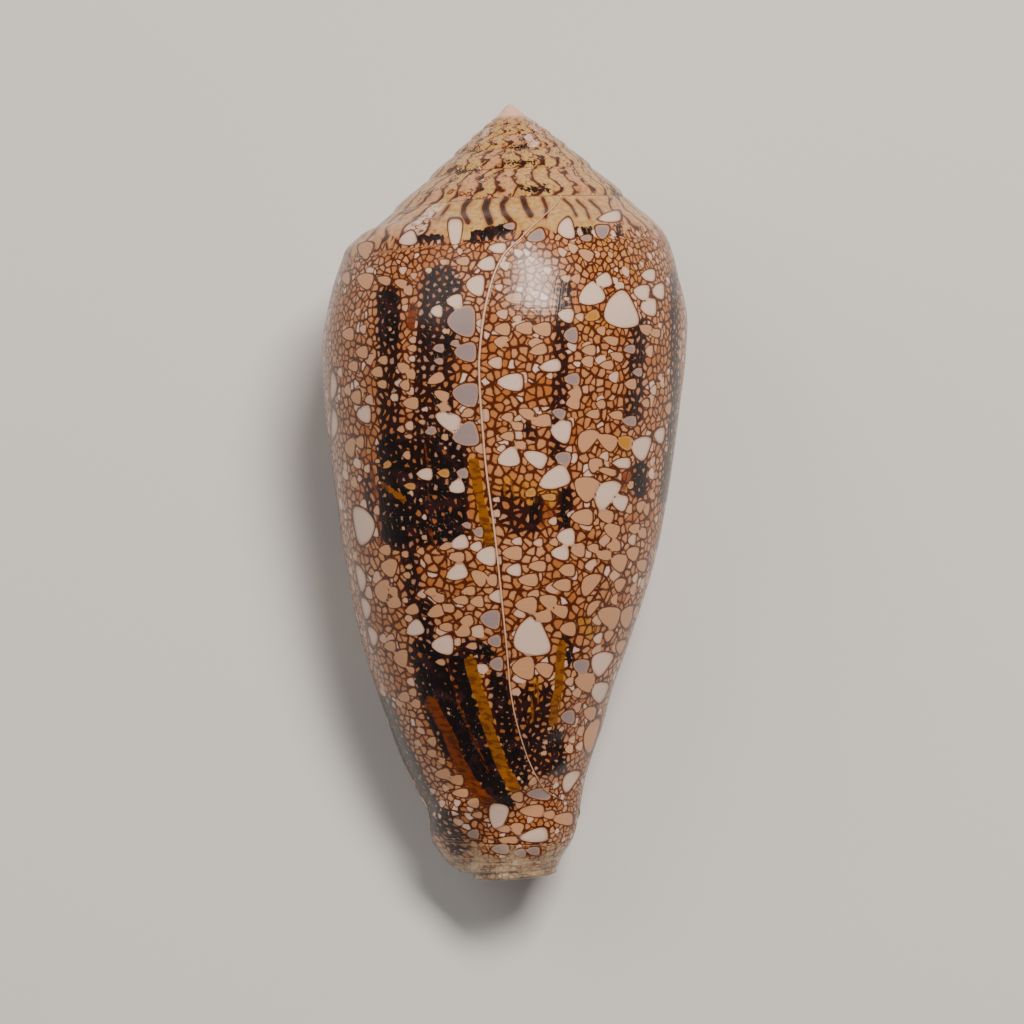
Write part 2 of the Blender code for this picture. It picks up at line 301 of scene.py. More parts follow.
def whorl_columns():
    """Turns of one whorl's columns, closer on the back and closest at the old lip line."""
    turn = np.linspace(LIP_TURN - 1.0, LIP_TURN, 6001)
    shown = smooth_step((turn + 0.55) / 0.05) * smooth_step((0.05 - turn) / 0.05)
    density = 1.0 + shown + 6.0 * np.exp(-((turn - SCAR_TURN) / 0.0034) ** 2)
    return spaced_by(density, turn, COLUMNS)


WHORL = whorl_columns()
FIRST = -round((LIP_TURN - 1.0 - FIRST_TURN) * COLUMNS)


def spire_turns():
    """Turns of the early whorls' columns: the same columns again for each whorl."""
    column = np.arange(FIRST, 1)
    return WHORL[column % COLUMNS] + np.floor_divide(column, COLUMNS)


def body_shares():
    """Shares of the way down the body: close rows at both ends and where the old lip turns.

    There, near the narrow end, the growth lines run nearly level and shear the grid.
    """
    top = TOP_GAP / (SHELL_END - seam_height(LIP_TURN))
    first = np.linspace(0.0, top, GAP_ROWS + 1)
    share = np.linspace(top, 0.984, 4001)
    density = 1.0 + 3.0 * np.exp(-((share - LIP_TURNS_AT) / 0.035) ** 2)
    middle = spaced_by(density, share, BODY_MIDDLE_ROWS)[1:]
    end = np.array((0.9862, 0.988, 0.9905, 0.994, 0.9975, 0.999, 1.0))
    return np.concatenate((first, middle, end))


BODY_ROWS = body_shares()
print("Columns in a turn:", COLUMNS, " rows on the body:", len(BODY_ROWS))


# %% [markdown]
# ## Points of the outside
# The ramp is the sloping band between two seams. The body is the long cone below it. Two
# small forms are real relief and not paint: a shallow groove along each seam, and the
# raised old lip line, where the animal once stopped growing for a while.

# %% Outside points
SEAM_GROOVE = 0.10           # depth of the groove along a whorl seam
SCAR_RISE = 0.11             # height of the old lip line
SCAR_WIDTH = 0.13            # half width of the old lip line


def ramp_points(turn, share):
    """From the seam of this turn to the next seam: a straight way with a slight swelling."""
    top_h, top_r = seam_height(turn), seam_radius(turn)
    low_h, low_r = seam_height(turn + 1.0), seam_radius(turn + 1.0)
    swell = smooth_through(RAMP_BULGE, share) * (0.35 + 0.65 * smooth_step((turn + 0.6) / 0.6))
    h = top_h + share * (low_h - top_h) - swell * (low_r - top_r)
    r = top_r + share * (low_r - top_r) + swell * (low_h - top_h)
    return h, r


def body_points(column_turn, shares):
    """Turn, height and radius of the body grid, with growth lines bent to the right."""
    top_turn = column_turn - growth_shift(RAMP_FOOT) * follows_growth(column_turn)
    top = seam_height(top_turn + 1.0)
    h = top + shares * (SHELL_END - top)
    share = np.clip((h - top - TOP_GAP) / (SHELL_END - top - TOP_GAP), 0.0, 1.0)
    bend = growth_shift(h) * follows_growth(column_turn)
    turn = column_turn - bend - retreat(share)
    return turn, h, with_ledge(shares, body_radius(turn, h))


def scar_profile(distance):
    """Raised line: a bell curve, with a small step down on the side that grew later."""
    ridge = SCAR_RISE * np.exp(-(distance / SCAR_WIDTH) ** 2)
    step = 0.05 * smooth_step((distance + 0.1) / 0.3) * (1.0 - smooth_step((distance - 0.3) / 2.5))
    return ridge - step


# %% [markdown]
# ## Points of the inside
# The animal's room is a narrow slit that winds back into the shell. Its outer wall is the
# inside of the last whorl, and its inner wall is the outside of the whorl before. Only the
# first part can be seen through the opening, so these grids are coarser.

# %% Inside points
INNER_COLUMNS = 27           # columns from the blind end of the hollow to the lip


def close_height(turn):
    """Height of the lower end of the hollow, which rises away from the spout."""
    back = (LIP_TURN - SPOUT_TURNS - turn) / (HOLLOW_TURNS - SPOUT_TURNS)
    return SHELL_END - 28.0 * np.sqrt(smooth_step(back))


def earlier_points(turn, share, even):
    """Skin of the whorl before, inside the hollow, down to the hollow's lower end."""
    share = share + (even - share) * smooth_step((LIP_TURN - 1.0 - turn) / 0.15)
    first = seam_height(turn + 1.0) + TOP_GAP
    h = first + share * (close_height(turn + 1.0) - first)
    skin_turn = turn - retreat(share)
    return skin_turn, h, with_ledge(share, body_radius(skin_turn, h))


def inner_wall_points(turn):
    """Inside of the outer wall: outer skin less the wall, never below the whorl before."""
    even = np.linspace(0.0, 1.0, len(INNER_SHARES))
    earlier_turn, h, r_earlier = earlier_points(turn - 1.0, INNER_SHARES, even)
    skin_turn = earlier_turn + 1.0
    slope = outer_radius(skin_turn, h + 0.5) - outer_radius(skin_turn, h - 0.5)
    wall = LIP_EDGE + (WALL - LIP_EDGE) * smooth_step((LIP_TURN - turn) / LIP_TAPER)
    r_in = outer_radius(skin_turn, h) - wall * np.sqrt(1.0 + np.minimum(np.abs(slope), 1.2) ** 2)
    at_end = smooth_step((h - SHELL_END + 3.2) / 3.0)
    r_in = r_in + (np.minimum(r_in, LEDGE - SPOUT_WALL) - r_in) * at_end
    opened = smooth_step((turn - (LIP_TURN - SPOUT_TURNS)) / 0.10)
    narrowed = 1.0 - np.clip((close_height(turn) - h) / 7.0, 0.0, 1.0)
    room = np.maximum(r_in - r_earlier, 0.25) * (1.0 - narrowed ** 2 * (1.0 - opened))
    room = room * smooth_step((turn - LIP_TURN + HOLLOW_TURNS) / 0.07)
    room[:, 0] = 0.0
    closed = turn[:, 0] < LIP_TURN - SPOUT_TURNS
    room[closed, -1] = 0.0
    return to_shell_frame(skin_turn, h, r_earlier + room)


def spread_along(points, count):
    """Put count points along each row's line, evenly by length, keeping its ends."""
    step = np.linalg.norm(np.diff(points, axis=1), axis=2)
    length = np.concatenate((np.zeros((len(points), 1)), np.cumsum(step, axis=1)), axis=1)
    share = length / length[:, -1:]
    wanted = np.linspace(0.0, 1.0, count)
    made = np.empty((len(points), count, 3))
    for row in range(len(points)):
        for axis in range(3):
            made[row, :, axis] = np.interp(wanted, share[row], points[row, :, axis])
    return made


# %% Collect grids into one mesh
PART_BODY, PART_EARLY, PART_RAMP, PART_INSIDE, PART_END = 0.0, 1.0, 2.0, 3.0, 4.0


def quad_corners(grid, inward=False):
    """The four corners of each cell of a grid, in the order that faces outward."""
    a, b = grid[:-1, :-1], grid[:-1, 1:]
    c, d = grid[1:, 1:], grid[1:, :-1]
    corners = (a, b, c, d) if inward else (d, c, b, a)
    return np.stack(corners, axis=-1).reshape(-1, 4)


class Skin:
    """Points and faces of the one closed skin, and the place on the spiral of each corner."""

    def __init__(self):
        self.points = []
        self.faces = []
        self.places = []
        self.count = 0

    def add(self, points):
        """Store a block of points and give back their numbers."""
        numbers = np.arange(self.count, self.count + points.size // 3).reshape(points.shape[:-1])
        self.points.append(points.reshape(-1, 3))
        self.count += numbers.size
        return numbers

    def sheet(self, index, place, inward=False):
        """Quads of a grid of point numbers; place holds turn, height, across, column, part."""
        self.faces.append(quad_corners(index, inward))
        whole = [np.broadcast_to(v, index.shape) for v in place]
        self.places.append(np.stack([quad_corners(v, inward) for v in whole], axis=-1))


def growth_angle_on_ramp(column_turn, share):
    """Turn of a ramp point: growth lines lean to the right towards the upper seam."""
    upper = growth_shift(RAMP_TOP) * follows_growth(column_turn)
    lower = growth_shift(RAMP_FOOT) * follows_growth(column_turn)
    return column_turn - (upper + (lower - upper) * share)


def seam_groove(slant_distance):
    """Depth of the groove at that distance from a seam: a bell curve."""
    return SEAM_GROOVE * np.exp(-(slant_distance / 0.22) ** 2)


def add_early_whorls(skin):
    """Early whorls: the lower seam row of each is the upper seam row of the next."""
    column = spire_turns()[:, None]
    share = np.linspace(0.0, 1.0, SPIRE_ROWS + 1)[None, :]
    next_shift = growth_shift(RAMP_TOP) * follows_growth(column + 1.0)
    turn = column - next_shift * share
    h, r = ramp_points(turn, share)
    width = (seam_radius(turn + 1.0) - seam_radius(turn)) / RAMP_OUT
    near = np.minimum(share, 1.0 - share) * width
    depth = seam_groove(near) * smooth_step((turn + 6.0) / 2.5)
    points = to_shell_frame(turn, h + RAMP_OUT * depth, r - RAMP_FALL * depth)
    return skin.add(points), (turn, h, share, column, PART_EARLY)


def add_last_ramp(skin):
    """Ramp of the last whorl."""
    column = WHORL[:, None]
    share = np.linspace(0.0, 1.0, RAMP_ROWS + 1)[None, :]
    turn = growth_angle_on_ramp(column, share)
    h, r = ramp_points(turn, share)
    width = (seam_radius(turn + 1.0) - seam_radius(turn)) / RAMP_OUT
    depth = seam_groove(share * width)
    distance = (column - SCAR_TURN) * 2.0 * math.pi * r
    depth = depth - scar_profile(distance) * smooth_step(share / 0.15)
    points = to_shell_frame(turn, h + RAMP_OUT * depth, r - RAMP_FALL * depth)
    return skin.add(points), (turn, h, share, column, PART_RAMP)


def add_body(skin):
    """Body of the last whorl, from the shoulder to the narrow end."""
    column = WHORL[:, None]
    turn, h, r = body_points(column, BODY_ROWS[None, :])
    distance = (column - SCAR_TURN) * 2.0 * math.pi * r
    r = r + scar_profile(distance) * smooth_step((76.0 - h) / 2.0)
    return skin.add(to_shell_frame(turn, h, r)), (turn, h, 1.0, column, PART_BODY)


def weld_outside(skin):
    """The three outside grids, with the rows and columns they share made the same points."""
    early, early_place = add_early_whorls(skin)
    ramp, ramp_place = add_last_ramp(skin)
    body, body_place = add_body(skin)
    points = np.concatenate(skin.points)
    start = early[-1]
    for k in range(SPIRE_ROWS):
        low, high = k * WELD_ROW, (k + 1) * WELD_ROW
        share = np.linspace(0.0, 1.0, WELD_ROW + 1)[:, None]
        line = points[start[k]] * (1.0 - share) + points[start[k + 1]] * share
        points[ramp[0, low:high + 1]] = line
    share = np.linspace(0.0, 1.0, GAP_ROWS + 1)[:, None]
    top, low = points[ramp[-1, 0]], points[body[0, GAP_ROWS]]
    points[body[0, :GAP_ROWS + 1]] = top * (1.0 - share) + low * share
    skin.points = [points]
    ramp[0, ::WELD_ROW] = start
    early[:len(early) - COLUMNS, -1] = early[COLUMNS:, 0]
    early[len(early) - COLUMNS:, -1] = ramp[1:, 0]
    ramp[0, 0], ramp[0, -1] = early[-1, 0], ramp[-1, 0]
    body[:, 0] = ramp[:, -1]
    skin.sheet(early, early_place)
    skin.sheet(ramp, ramp_place)
    skin.sheet(body, body_place)
    return early, ramp, body


def add_tip(skin, early):
    """Rounded tip: the spire's cone, widened by a root of the height near the top."""
    ring = early[:COLUMNS + 1, 0]
    turn = spire_turns()[:COLUMNS + 1][:, None]
    share = np.linspace(0.0, 1.0, 9)[None, :-1] ** 2
    h = share * seam_height(turn)
    blunt = SPIRE_START * (1.0 - np.exp(-(h / BLUNT_HEIGHT) ** 2))
    dome = 0.55 * np.sqrt(h) * np.clip(1.0 - h / seam_height(FIRST_TURN), 0.0, 1.0) ** 1.2
    grid = skin.add(to_shell_frame(turn, h, SPIRE_SLOPE * h + blunt + dome))
    grid[:, 0] = grid[0, 0]
    heights = np.column_stack((h, seam_height(turn)))
    skin.sheet(np.column_stack((grid, ring)), (turn, heights, 0.0, turn, PART_EARLY))


def add_hollow(skin, body):
    """Inner wall and the whorl before it; they share their upper row."""
    turn = np.linspace(LIP_TURN - HOLLOW_TURNS, LIP_TURN, INNER_COLUMNS)[:, None]
    share = (BODY_ROWS[GAP_ROWS:] - BODY_ROWS[GAP_ROWS]) / (1.0 - BODY_ROWS[GAP_ROWS])
    even = np.linspace(0.0, 1.0, len(share))
    e_turn, h, r = earlier_points(turn - 1.0, share[None, :], even[None, :])
    earlier = skin.add(to_shell_frame(e_turn, h, r))
    earlier[-1] = body[0, GAP_ROWS:]
    rows = RAMP_ROWS + len(BODY_ROWS)
    wall = skin.add(spread_along(inner_wall_points(turn), rows))
    wall[:, 0] = earlier[:, 0]
    closed = turn[:, 0] < LIP_TURN - SPOUT_TURNS
    wall[closed, -1] = earlier[closed, -1]
    skin.sheet(earlier, (e_turn, h, 1.0, turn - 1.0, PART_INSIDE))
    skin.sheet(wall, (turn, 40.0, 1.0, turn, PART_INSIDE), inward=True)
    return earlier, wall


def add_lip(skin, ramp, body, wall):
    """Rounded edge of the lip: half circles from the outer skin to the inner wall."""
    outer = np.concatenate((ramp[-1], body[-1, 1:]))
    inner = wall[-1]
    points = np.concatenate(skin.points)
    skin.points = [points]
    out, into = points[outer], points[inner]
    bend = np.linspace(0.0, math.pi, 6)[1:-1][:, None, None]
    angle = math.pi + 2.0 * math.pi * LIP_TURN
    forward = np.array((-math.sin(angle), 0.0, math.cos(angle)))
    thick = np.minimum(np.linalg.norm(out - into, axis=1), LIP_EDGE)
    row = np.arange(len(outer))
    easing = smooth_step(row / 40.0) * smooth_step(row[::-1] / 12.0)
    bulge = (0.42 * thick * easing)[None, :, None] * forward
    middle = out * (1.0 + np.cos(bend)) / 2.0 + into * (1.0 - np.cos(bend)) / 2.0
    middle = middle + bulge * np.sin(bend)
    edge = skin.add(middle)
    place = (LIP_TURN, 40.0, 1.0, LIP_TURN, PART_INSIDE)
    skin.sheet(np.concatenate((outer[None, :], edge, inner[None, :])), place)


def add_narrow_end(skin, body, earlier):
    """Flat rim of the spout, and the small face that closes the pillar."""
    column = WHORL
    place = column - growth_shift(SHELL_END) * follows_growth(column)
    start = int(np.abs(place - (LIP_TURN - SPOUT_TURNS)).argmin())
    end = (0.0, SHELL_END, 1.0, 0.0, PART_END)
    spout = to_shell_frame(place[start:] - LIP_RETREAT, SHELL_END, LEDGE - SPOUT_WALL)
    inner = skin.add(spout)
    skin.sheet(np.column_stack((body[start:, -1], inner)), end)
    centre = skin.add(to_shell_frame(0.0, SHELL_END, 0.0)[None])
    disc = body[:start + 1, -1]
    skin.sheet(np.column_stack((disc, np.full(len(disc), centre[0]))), end)
    turns = np.linspace(LIP_TURN - HOLLOW_TURNS, LIP_TURN, INNER_COLUMNS)
    back = earlier[turns > LIP_TURN - SPOUT_TURNS - 0.02, -1]
    skin.sheet(np.column_stack((back, np.full(len(back), centre[0]))), end)


skin = Skin()
early, ramp, body = weld_outside(skin)
add_tip(skin, early)
earlier, wall = add_hollow(skin, body)
add_lip(skin, ramp, body, wall)
add_narrow_end(skin, body, earlier)
POINTS = np.concatenate(skin.points)
print("Skin points:", len(POINTS), " faces:", sum(len(f) for f in skin.faces))


# %% Make the shell's mesh
def kept_corners():
    """Faces at a pole or a weld lose the corner that repeats the one before it."""
    faces, places = np.concatenate(skin.faces), np.concatenate(skin.places)
    keep = faces != np.roll(faces, 1, axis=1)
    whole = keep.sum(axis=1) >= 3
    keep, faces, places = keep[whole], faces[whole], places[whole]
    return faces[keep], places[keep], keep.sum(axis=1)


def into_cad_box(points):
    """Stretch each axis by under half a percent, so that the smooth skin ends where the
    solid's flat facets end."""
    low, high = points.min(axis=0), points.max(axis=0)
    small, large = np.array(cad_low) / MM, np.array(cad_high) / MM
    print("Stretch of each axis:", np.round((large - small) / (high - low), 4))
    return small + (points - low) * (large - small) / (high - low)


def shell_object(corners, sides):
    """One object from all grids."""
    world = into_cad_box(POINTS @ REST.T + OFFSET) * MM
    mesh = bpy.data.meshes.new("cone_shell")
    mesh.vertices.add(len(world))
    mesh.vertices.foreach_set("co", world.astype(np.float32).ravel())
    mesh.loops.add(len(corners))
    mesh.loops.foreach_set("vertex_index", corners.astype(np.int32))
    mesh.polygons.add(len(sides))
    starts = np.concatenate(([0], np.cumsum(sides)[:-1]))
    mesh.polygons.foreach_set("loop_start", starts.astype(np.int32))
    mesh.update(calc_edges=True)
    mesh.shade_smooth()
    thing = bpy.data.objects.new("cone_shell", mesh)
    bpy.context.scene.collection.objects.link(thing)
    return thing


CORNERS, PLACES, SIDES = kept_corners()
shell = shell_object(CORNERS, SIDES)
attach(shell, "root")
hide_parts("shell")
print("Triangles:", int((SIDES - 2).sum()))

# %% [markdown]
# ## Where the markings lie
# The animal colours each new strip of lip as it grows, so the markings follow the growth
# lines. On the back they are set out as seen in the photograph: a list of the large tents
# and of the dark, golden and rust-red streaks, each with its place in picture steps. One
# step is 0.1032 mm at the coiling axis. The small tents are left to a cell pattern in the
# material. The hidden side gets streaks from a few waves, in the same proportions.

# %% Picture frame
CAMERA_DISTANCE = 400.0      # mm from the coiling axis
VIEW_WIDTH = 105.7           # mm across the picture at the axis
VIEW_CENTRE = (-0.72, -42.1, 0.0)


# %% Large tents
PICTURE_STEP = 0.1032        # mm at the coiling axis for one step of the picture
TENT_GAP = 0.13              # mm, room for the line between two tents that touch
ROUND_END = 1.9              # power of the outline at a tent's narrow end
FLAT_END = 3.4               # power of the outline at its flatter end

# Each tent: steps across and down the picture, half width, half height, lean in degrees
WHITE_TENTS = (
    (620, 312, 16, 22, 25), (591, 295, 13, 13, 30), (603, 281, 9, 8, 20), (642, 292, 8, 9, -10),
    (659, 291, 6, 9, 0), (649, 307, 8, 10, 0), (649, 275, 7, 7, 0), (510, 382, 13, 10, 0),
    (550, 366, 11, 7, 10), (566, 315, 8, 8, -10), (447, 420, 13, 10, -25), (363, 414, 7, 10, 0),
    (424, 474, 8, 7, 0), (456, 487, 8, 8, 20), (459, 543, 9, 8, 20), (486, 556, 10, 11, 0),
    (414, 629, 9, 9, 30), (456, 573, 11, 9, 25), (530, 639, 17, 23, 25), (561, 431, 10, 13, -10),
    (508, 458, 11, 11, 20), (535, 458, 12, 9, -25), (554, 479, 16, 12, 25), (606, 493, 10, 19, -38),
    (620, 502, 8, 9, -20), (641, 447, 9, 14, -20), (660, 435, 5, 9, -10), (566, 537, 9, 10, 0),
    (560, 553, 9, 8, 0), (498, 817, 13, 11, 80), (534, 836, 14, 8, 10), (610, 217, 11, 6, 10),
    (566, 229, 8, 12, 15), (454, 301, 8, 8, 0), (475, 285, 9, 12, -5), (486, 264, 9, 8, 10),
    (497, 248, 9, 6, 0), (455, 234, 15, 8, 90), (407, 239, 9, 8, 20), (601, 662, 9, 15, -35),
    (599, 691, 8, 12, -25), (442, 645, 11, 11, 0), (436, 311, 6, 7, 0), (622, 463, 9, 6, 0),
    # The last six entries, from (364, 525) on, are long thin white marks close to the left edge of
    # the back.
    (570, 780, 6, 14, -35), (364, 525, 10, 22, -170), (361, 578, 4, 15, -168),
    (366, 608, 4, 12, -168), (373, 636, 4, 11, -165),
    (333, 386, 3, 15, 178), (334, 424, 3, 16, 178),
)
LILAC_TENTS = (
    (461, 321, 14, 18, 0), (465, 352, 11, 11, 0), (465, 394, 13, 14, -10), (465, 435, 13, 14, 15),
    (603, 232, 7, 8, 90), (586, 238, 6, 4, 0), (571, 335, 7, 9, 0), (572, 379, 8, 7, 0),
    (630, 349, 6, 5, 0), (630, 421, 7, 6, 0), (438, 348, 6, 5, 0), (438, 361, 5, 4, 0),
    (454, 343, 5, 4, 0), (430, 431, 6, 5, 20), (466, 525, 5, 4, 0), (478, 532, 5, 6, 0),
    (490, 619, 10, 11, -5), (494, 641, 7, 7, 0), (496, 664, 7, 8, 0), (581, 666, 8, 9, -20),
    (539, 794, 12, 7, 0), (473, 834, 6, 6, 0), (568, 717, 7, 8, 0), (500, 849, 9, 6, 0),
    (520, 853, 6, 5, 0), (533, 851, 7, 5, 0), (462, 473, 6, 6, 0), (638, 372, 5, 5, 0),
    (559, 413, 7, 6, -20), (563, 458, 8, 8, -15), (509, 226, 6, 4, 0), (536, 236, 9, 7, 20),
)
CREAM_TENTS = (
    (586, 254, 8, 6, -30), (542, 329, 9, 8, 0), (524, 328, 9, 7, 0), (502, 329, 8, 7, 0),
    (538, 350, 9, 6, 15), (513, 298, 9, 6, 0), (589, 350, 7, 6, 0), (611, 340, 8, 5, -15),
    (631, 384, 6, 6, 0), (646, 329, 6, 6, -20), (656, 333, 5, 5, 0), (617, 356, 7, 5, -20),
    (607, 365, 7, 5, 0), (364, 249, 7, 10, -25), (364, 280, 8, 9, -20), (345, 278, 4, 7, 0),
    (383, 280, 7, 5, -15), (400, 283, 7, 5, -20), (407, 290, 5, 6, 0), (462, 261, 7, 5, 0),
    (411, 348, 5, 4, 0), (382, 360, 5, 5, 0), (376, 372, 6, 6, 10), (361, 352, 6, 7, 0),
    (347, 334, 6, 7, 0), (352, 366, 5, 6, 0), (381, 384, 5, 5, 0), (435, 379, 9, 6, 25),
    (402, 367, 6, 6, -35), (410, 374, 5, 6, 0), (404, 385, 5, 6, 0), (441, 395, 8, 6, -25),
    (410, 403, 8, 7, 0), (443, 407, 8, 4, -15), (467, 413, 7, 5, 30), (355, 397, 5, 8, 0),
    (349, 447, 5, 11, -5), (359, 442, 4, 7, 0), (444, 437, 4, 4, 0), (400, 429, 4, 4, 0),
    (421, 422, 4, 3, 0), (408, 436, 4, 3, 0), (406, 455, 4, 5, 0), (456, 557, 8, 6, 0),
    (384, 550, 6, 6, 0), (444, 547, 7, 4, 25), (388, 567, 8, 10, -15), (381, 590, 7, 13, -10),
    (392, 591, 5, 5, 0), (393, 603, 7, 7, 25), (411, 610, 7, 6, 20), (479, 577, 9, 8, -40),
    (491, 580, 6, 7, 0), (468, 591, 7, 5, 5), (460, 600, 8, 5, 0), (447, 608, 7, 5, 0),
    (435, 612, 9, 7, 25), (438, 598, 6, 5, 0), (430, 592, 6, 5, 0), (466, 621, 7, 6, 15),
    (462, 632, 8, 6, 15), (445, 627, 7, 5, 0), (471, 646, 6, 4, 0), (440, 662, 5, 4, 0),
    (400, 658, 7, 10, -5), (389, 646, 6, 6, 0), (410, 670, 4, 4, 0), (412, 692, 4, 5, 0),
    (403, 697, 6, 6, 10), (415, 704, 5, 5, 0), (408, 566, 4, 3, 0), (406, 575, 4, 4, 0),
    (404, 554, 4, 4, 0), (420, 551, 4, 4, 0), (523, 668, 11, 13, 0), (544, 669, 9, 8, -25),
    (526, 605, 11, 9, 0), (528, 580, 10, 7, 0), (562, 585, 9, 7, 0), (567, 570, 8, 7, 0),
    (537, 566, 9, 6, 0), (548, 601, 9, 8, -20), (542, 617, 10, 7, 10), (560, 611, 8, 7, -15),
    (568, 629, 8, 8, 0), (590, 583, 7, 15, -40), (609, 616, 11, 12, -20), (627, 616, 6, 13, -20),
    (620, 584, 5, 8, -30), (585, 682, 10, 11, -10), (590, 713, 6, 8, -15), (591, 735, 6, 20, -17),
    (593, 607, 4, 11, -40), (609, 635, 4, 7, -35), (621, 646, 4, 8, -25), (636, 612, 3, 7, -10),
    (619, 562, 8, 10, -20), (541, 421, 10, 7, 10), (586, 487, 12, 14, -35), (587, 439, 8, 15, -40),
    (608, 441, 10, 9, -30), (595, 464, 6, 9, -40), (607, 471, 10, 4, -15), (582, 517, 11, 9, 0),
    (512, 553, 10, 8, 0), (606, 516, 8, 7, -15), (612, 530, 8, 8, -25), (614, 546, 7, 6, 0),
    (604, 555, 8, 6, 0), (633, 553, 6, 8, -20), (635, 529, 6, 6, 0), (642, 533, 5, 6, 0),
    (578, 550, 7, 8, 0), (593, 548, 6, 5, 0), (647, 509, 3, 7, -10), (641, 506, 4, 7, -25),
    (642, 565, 5, 7, -15), (616, 415, 7, 5, 0), (593, 414, 7, 5, 0), (601, 404, 5, 5, 0),
    (573, 403, 7, 7, 0), (575, 393, 7, 6, 0), (646, 403, 4, 5, 0), (669, 408, 3, 7, -10),
    (526, 413, 8, 6, -20), (507, 417, 6, 5, 0), (517, 426, 6, 5, 0), (507, 436, 7, 5, 0),
    (520, 445, 6, 5, 0), (563, 819, 10, 7, 0), (456, 780, 7, 6, 0), (460, 793, 8, 5, 0),
    (473, 803, 6, 6, 0), (477, 815, 5, 4, 0), (441, 761, 4, 4, 0), (431, 753, 5, 5, 0),
    (431, 741, 5, 5, 0), (442, 774, 8, 6, 0), (508, 840, 10, 4, 0), (532, 811, 12, 7, 0),
    (517, 797, 6, 6, 0), (517, 828, 6, 7, -30), (503, 829, 7, 4, 0), (549, 815, 6, 5, 0),
)
GOLD_TENTS = (
    (443, 473, 6, 5, 0), (409, 486, 6, 4, 0), (386, 465, 5, 4, 30), (625, 442, 8, 8, -20),
    (530, 493, 6, 5, 20), (548, 497, 8, 4, 0), (592, 316, 8, 6, 20),
)
TENT_KINDS = ((WHITE_TENTS, 0.0), (LILAC_TENTS, 1.0), (CREAM_TENTS, 2.0), (GOLD_TENTS, 3.0))
print("Tents set out one by one:", sum(len(tents) for tents, kind in TENT_KINDS))

# %% Streaks of colour
STREAK_FADE = 8.0            # picture steps over which a streak fades at its edge
FAR_OUTSIDE = -3.0           # mm, distance where no tent or bar is near

# Each streak: its strength, its half width in picture steps, and the points it runs through
DARK_STREAKS = (
    (0.95, 11, (388, 298), (388, 335)), (0.55, 11, (388, 335), (390, 435)),
    (0.9, 17, (394, 448), (396, 490)), (1.0, 17, (396, 490), (398, 532)),
    (0.75, 20, (441, 286), (438, 340)), (0.55, 20, (434, 345), (432, 440)),
    (0.85, 20, (446, 452), (448, 528)),
    (0.8, 12, (421, 448), (424, 535)), (0.55, 7, (565, 285), (562, 345), (557, 455)),
    (0.55, 8, (640, 325), (634, 415)), (0.9, 3.5, (675, 274), (676, 400), (664, 500)),
    (0.9, 7, (641, 468), (640, 490)), (0.9, 6, (536, 502), (534, 526)),
    (0.85, 6, (567, 494), (564, 524)), (0.45, 16, (505, 505), (520, 520)),
    (0.7, 5, (527, 428), (531, 434)), (0.6, 8, (408, 545), (414, 600)),
    (0.75, 7, (424, 605), (428, 650)), (0.95, 15, (424, 654), (432, 664)),
    (0.9, 9, (470, 648), (486, 655)), (1.35, 11, (436, 668), (446, 706), (466, 750), (480, 778)),
    (1.35, 8, (482, 780), (505, 801)), (1.3, 9, (458, 662), (469, 705), (482, 745), (498, 785)),
    (0.9, 9, (497, 680), (506, 730), (521, 776)), (1.1, 9, (424, 680), (436, 716), (452, 750)),
    (0.7, 5, (547, 690), (544, 722)), (0.8, 4, (567, 640), (570, 662)),
    (0.9, 7, (556, 735), (560, 768)), (0.65, 20, (530, 705), (545, 755)),
    (0.95, 8, (384, 704), (402, 757), (432, 826)), (0.8, 5, (402, 742), (425, 790), (446, 826)),
    (0.7, 9, (440, 815), (458, 845)),
    (1.0, 6, (474, 236), (506, 229)), (0.9, 3.5, (420, 239), (440, 237)),
    (0.9, 2.5, (512, 147), (528, 147)), (0.85, 2.5, (504, 164), (520, 162), (536, 163)),
    (0.8, 5, (526, 190), (546, 188)), (0.8, 2.5, (456, 172), (474, 169)),
    (0.7, 2.5, (468, 151), (478, 149)), (0.8, 4, (578, 231), (590, 230)),
    (0.6, 4, (617, 233), (621, 231)), (0.7, 3, (610, 188), (619, 197)),
    (0.6, 2.5, (578, 154), (586, 160)), (0.45, 5, (366, 470), (370, 515)),
    (0.6, 1.5, (484, 868), (484, 877)), (0.6, 2, (520, 869), (521, 877)),
    (0.6, 1.5, (543, 868), (544, 876)),
)
GOLD_STREAKS = (
    (1.0, 6, (474, 462), (478, 490), (484, 520), (489, 543)),
    (1.0, 7, (470, 662), (481, 702), (491, 736), (503, 768), (515, 788)),
    (0.9, 6, (562, 645), (559, 690), (553, 722)), (0.7, 6, (537, 682), (535, 702), (530, 722)),
    (0.8, 5, (383, 485), (404, 500)), (0.6, 13, (510, 488), (550, 496)),
    (0.35, 22, (595, 255), (640, 262)), (0.5, 8, (620, 455), (632, 458)),
    (0.6, 8, (585, 622), (594, 634)), (0.4, 14, (585, 315), (600, 325)),
)
RUST_STREAKS = (
    (1.0, 7, (430, 702), (449, 735), (460, 765), (480, 795), (492, 805)),
    (0.7, 4, (453, 668), (459, 705), (476, 742), (488, 772)),
    (0.8, 3, (371, 470), (376, 500), (381, 546)),
    (0.9, 5, (413, 308), (411, 326)), (0.6, 5, (424, 446), (429, 462), (426, 505), (430, 540)),
    (0.5, 8, (628, 478), (629, 486)), (0.5, 12, (520, 520), (545, 516)),
)
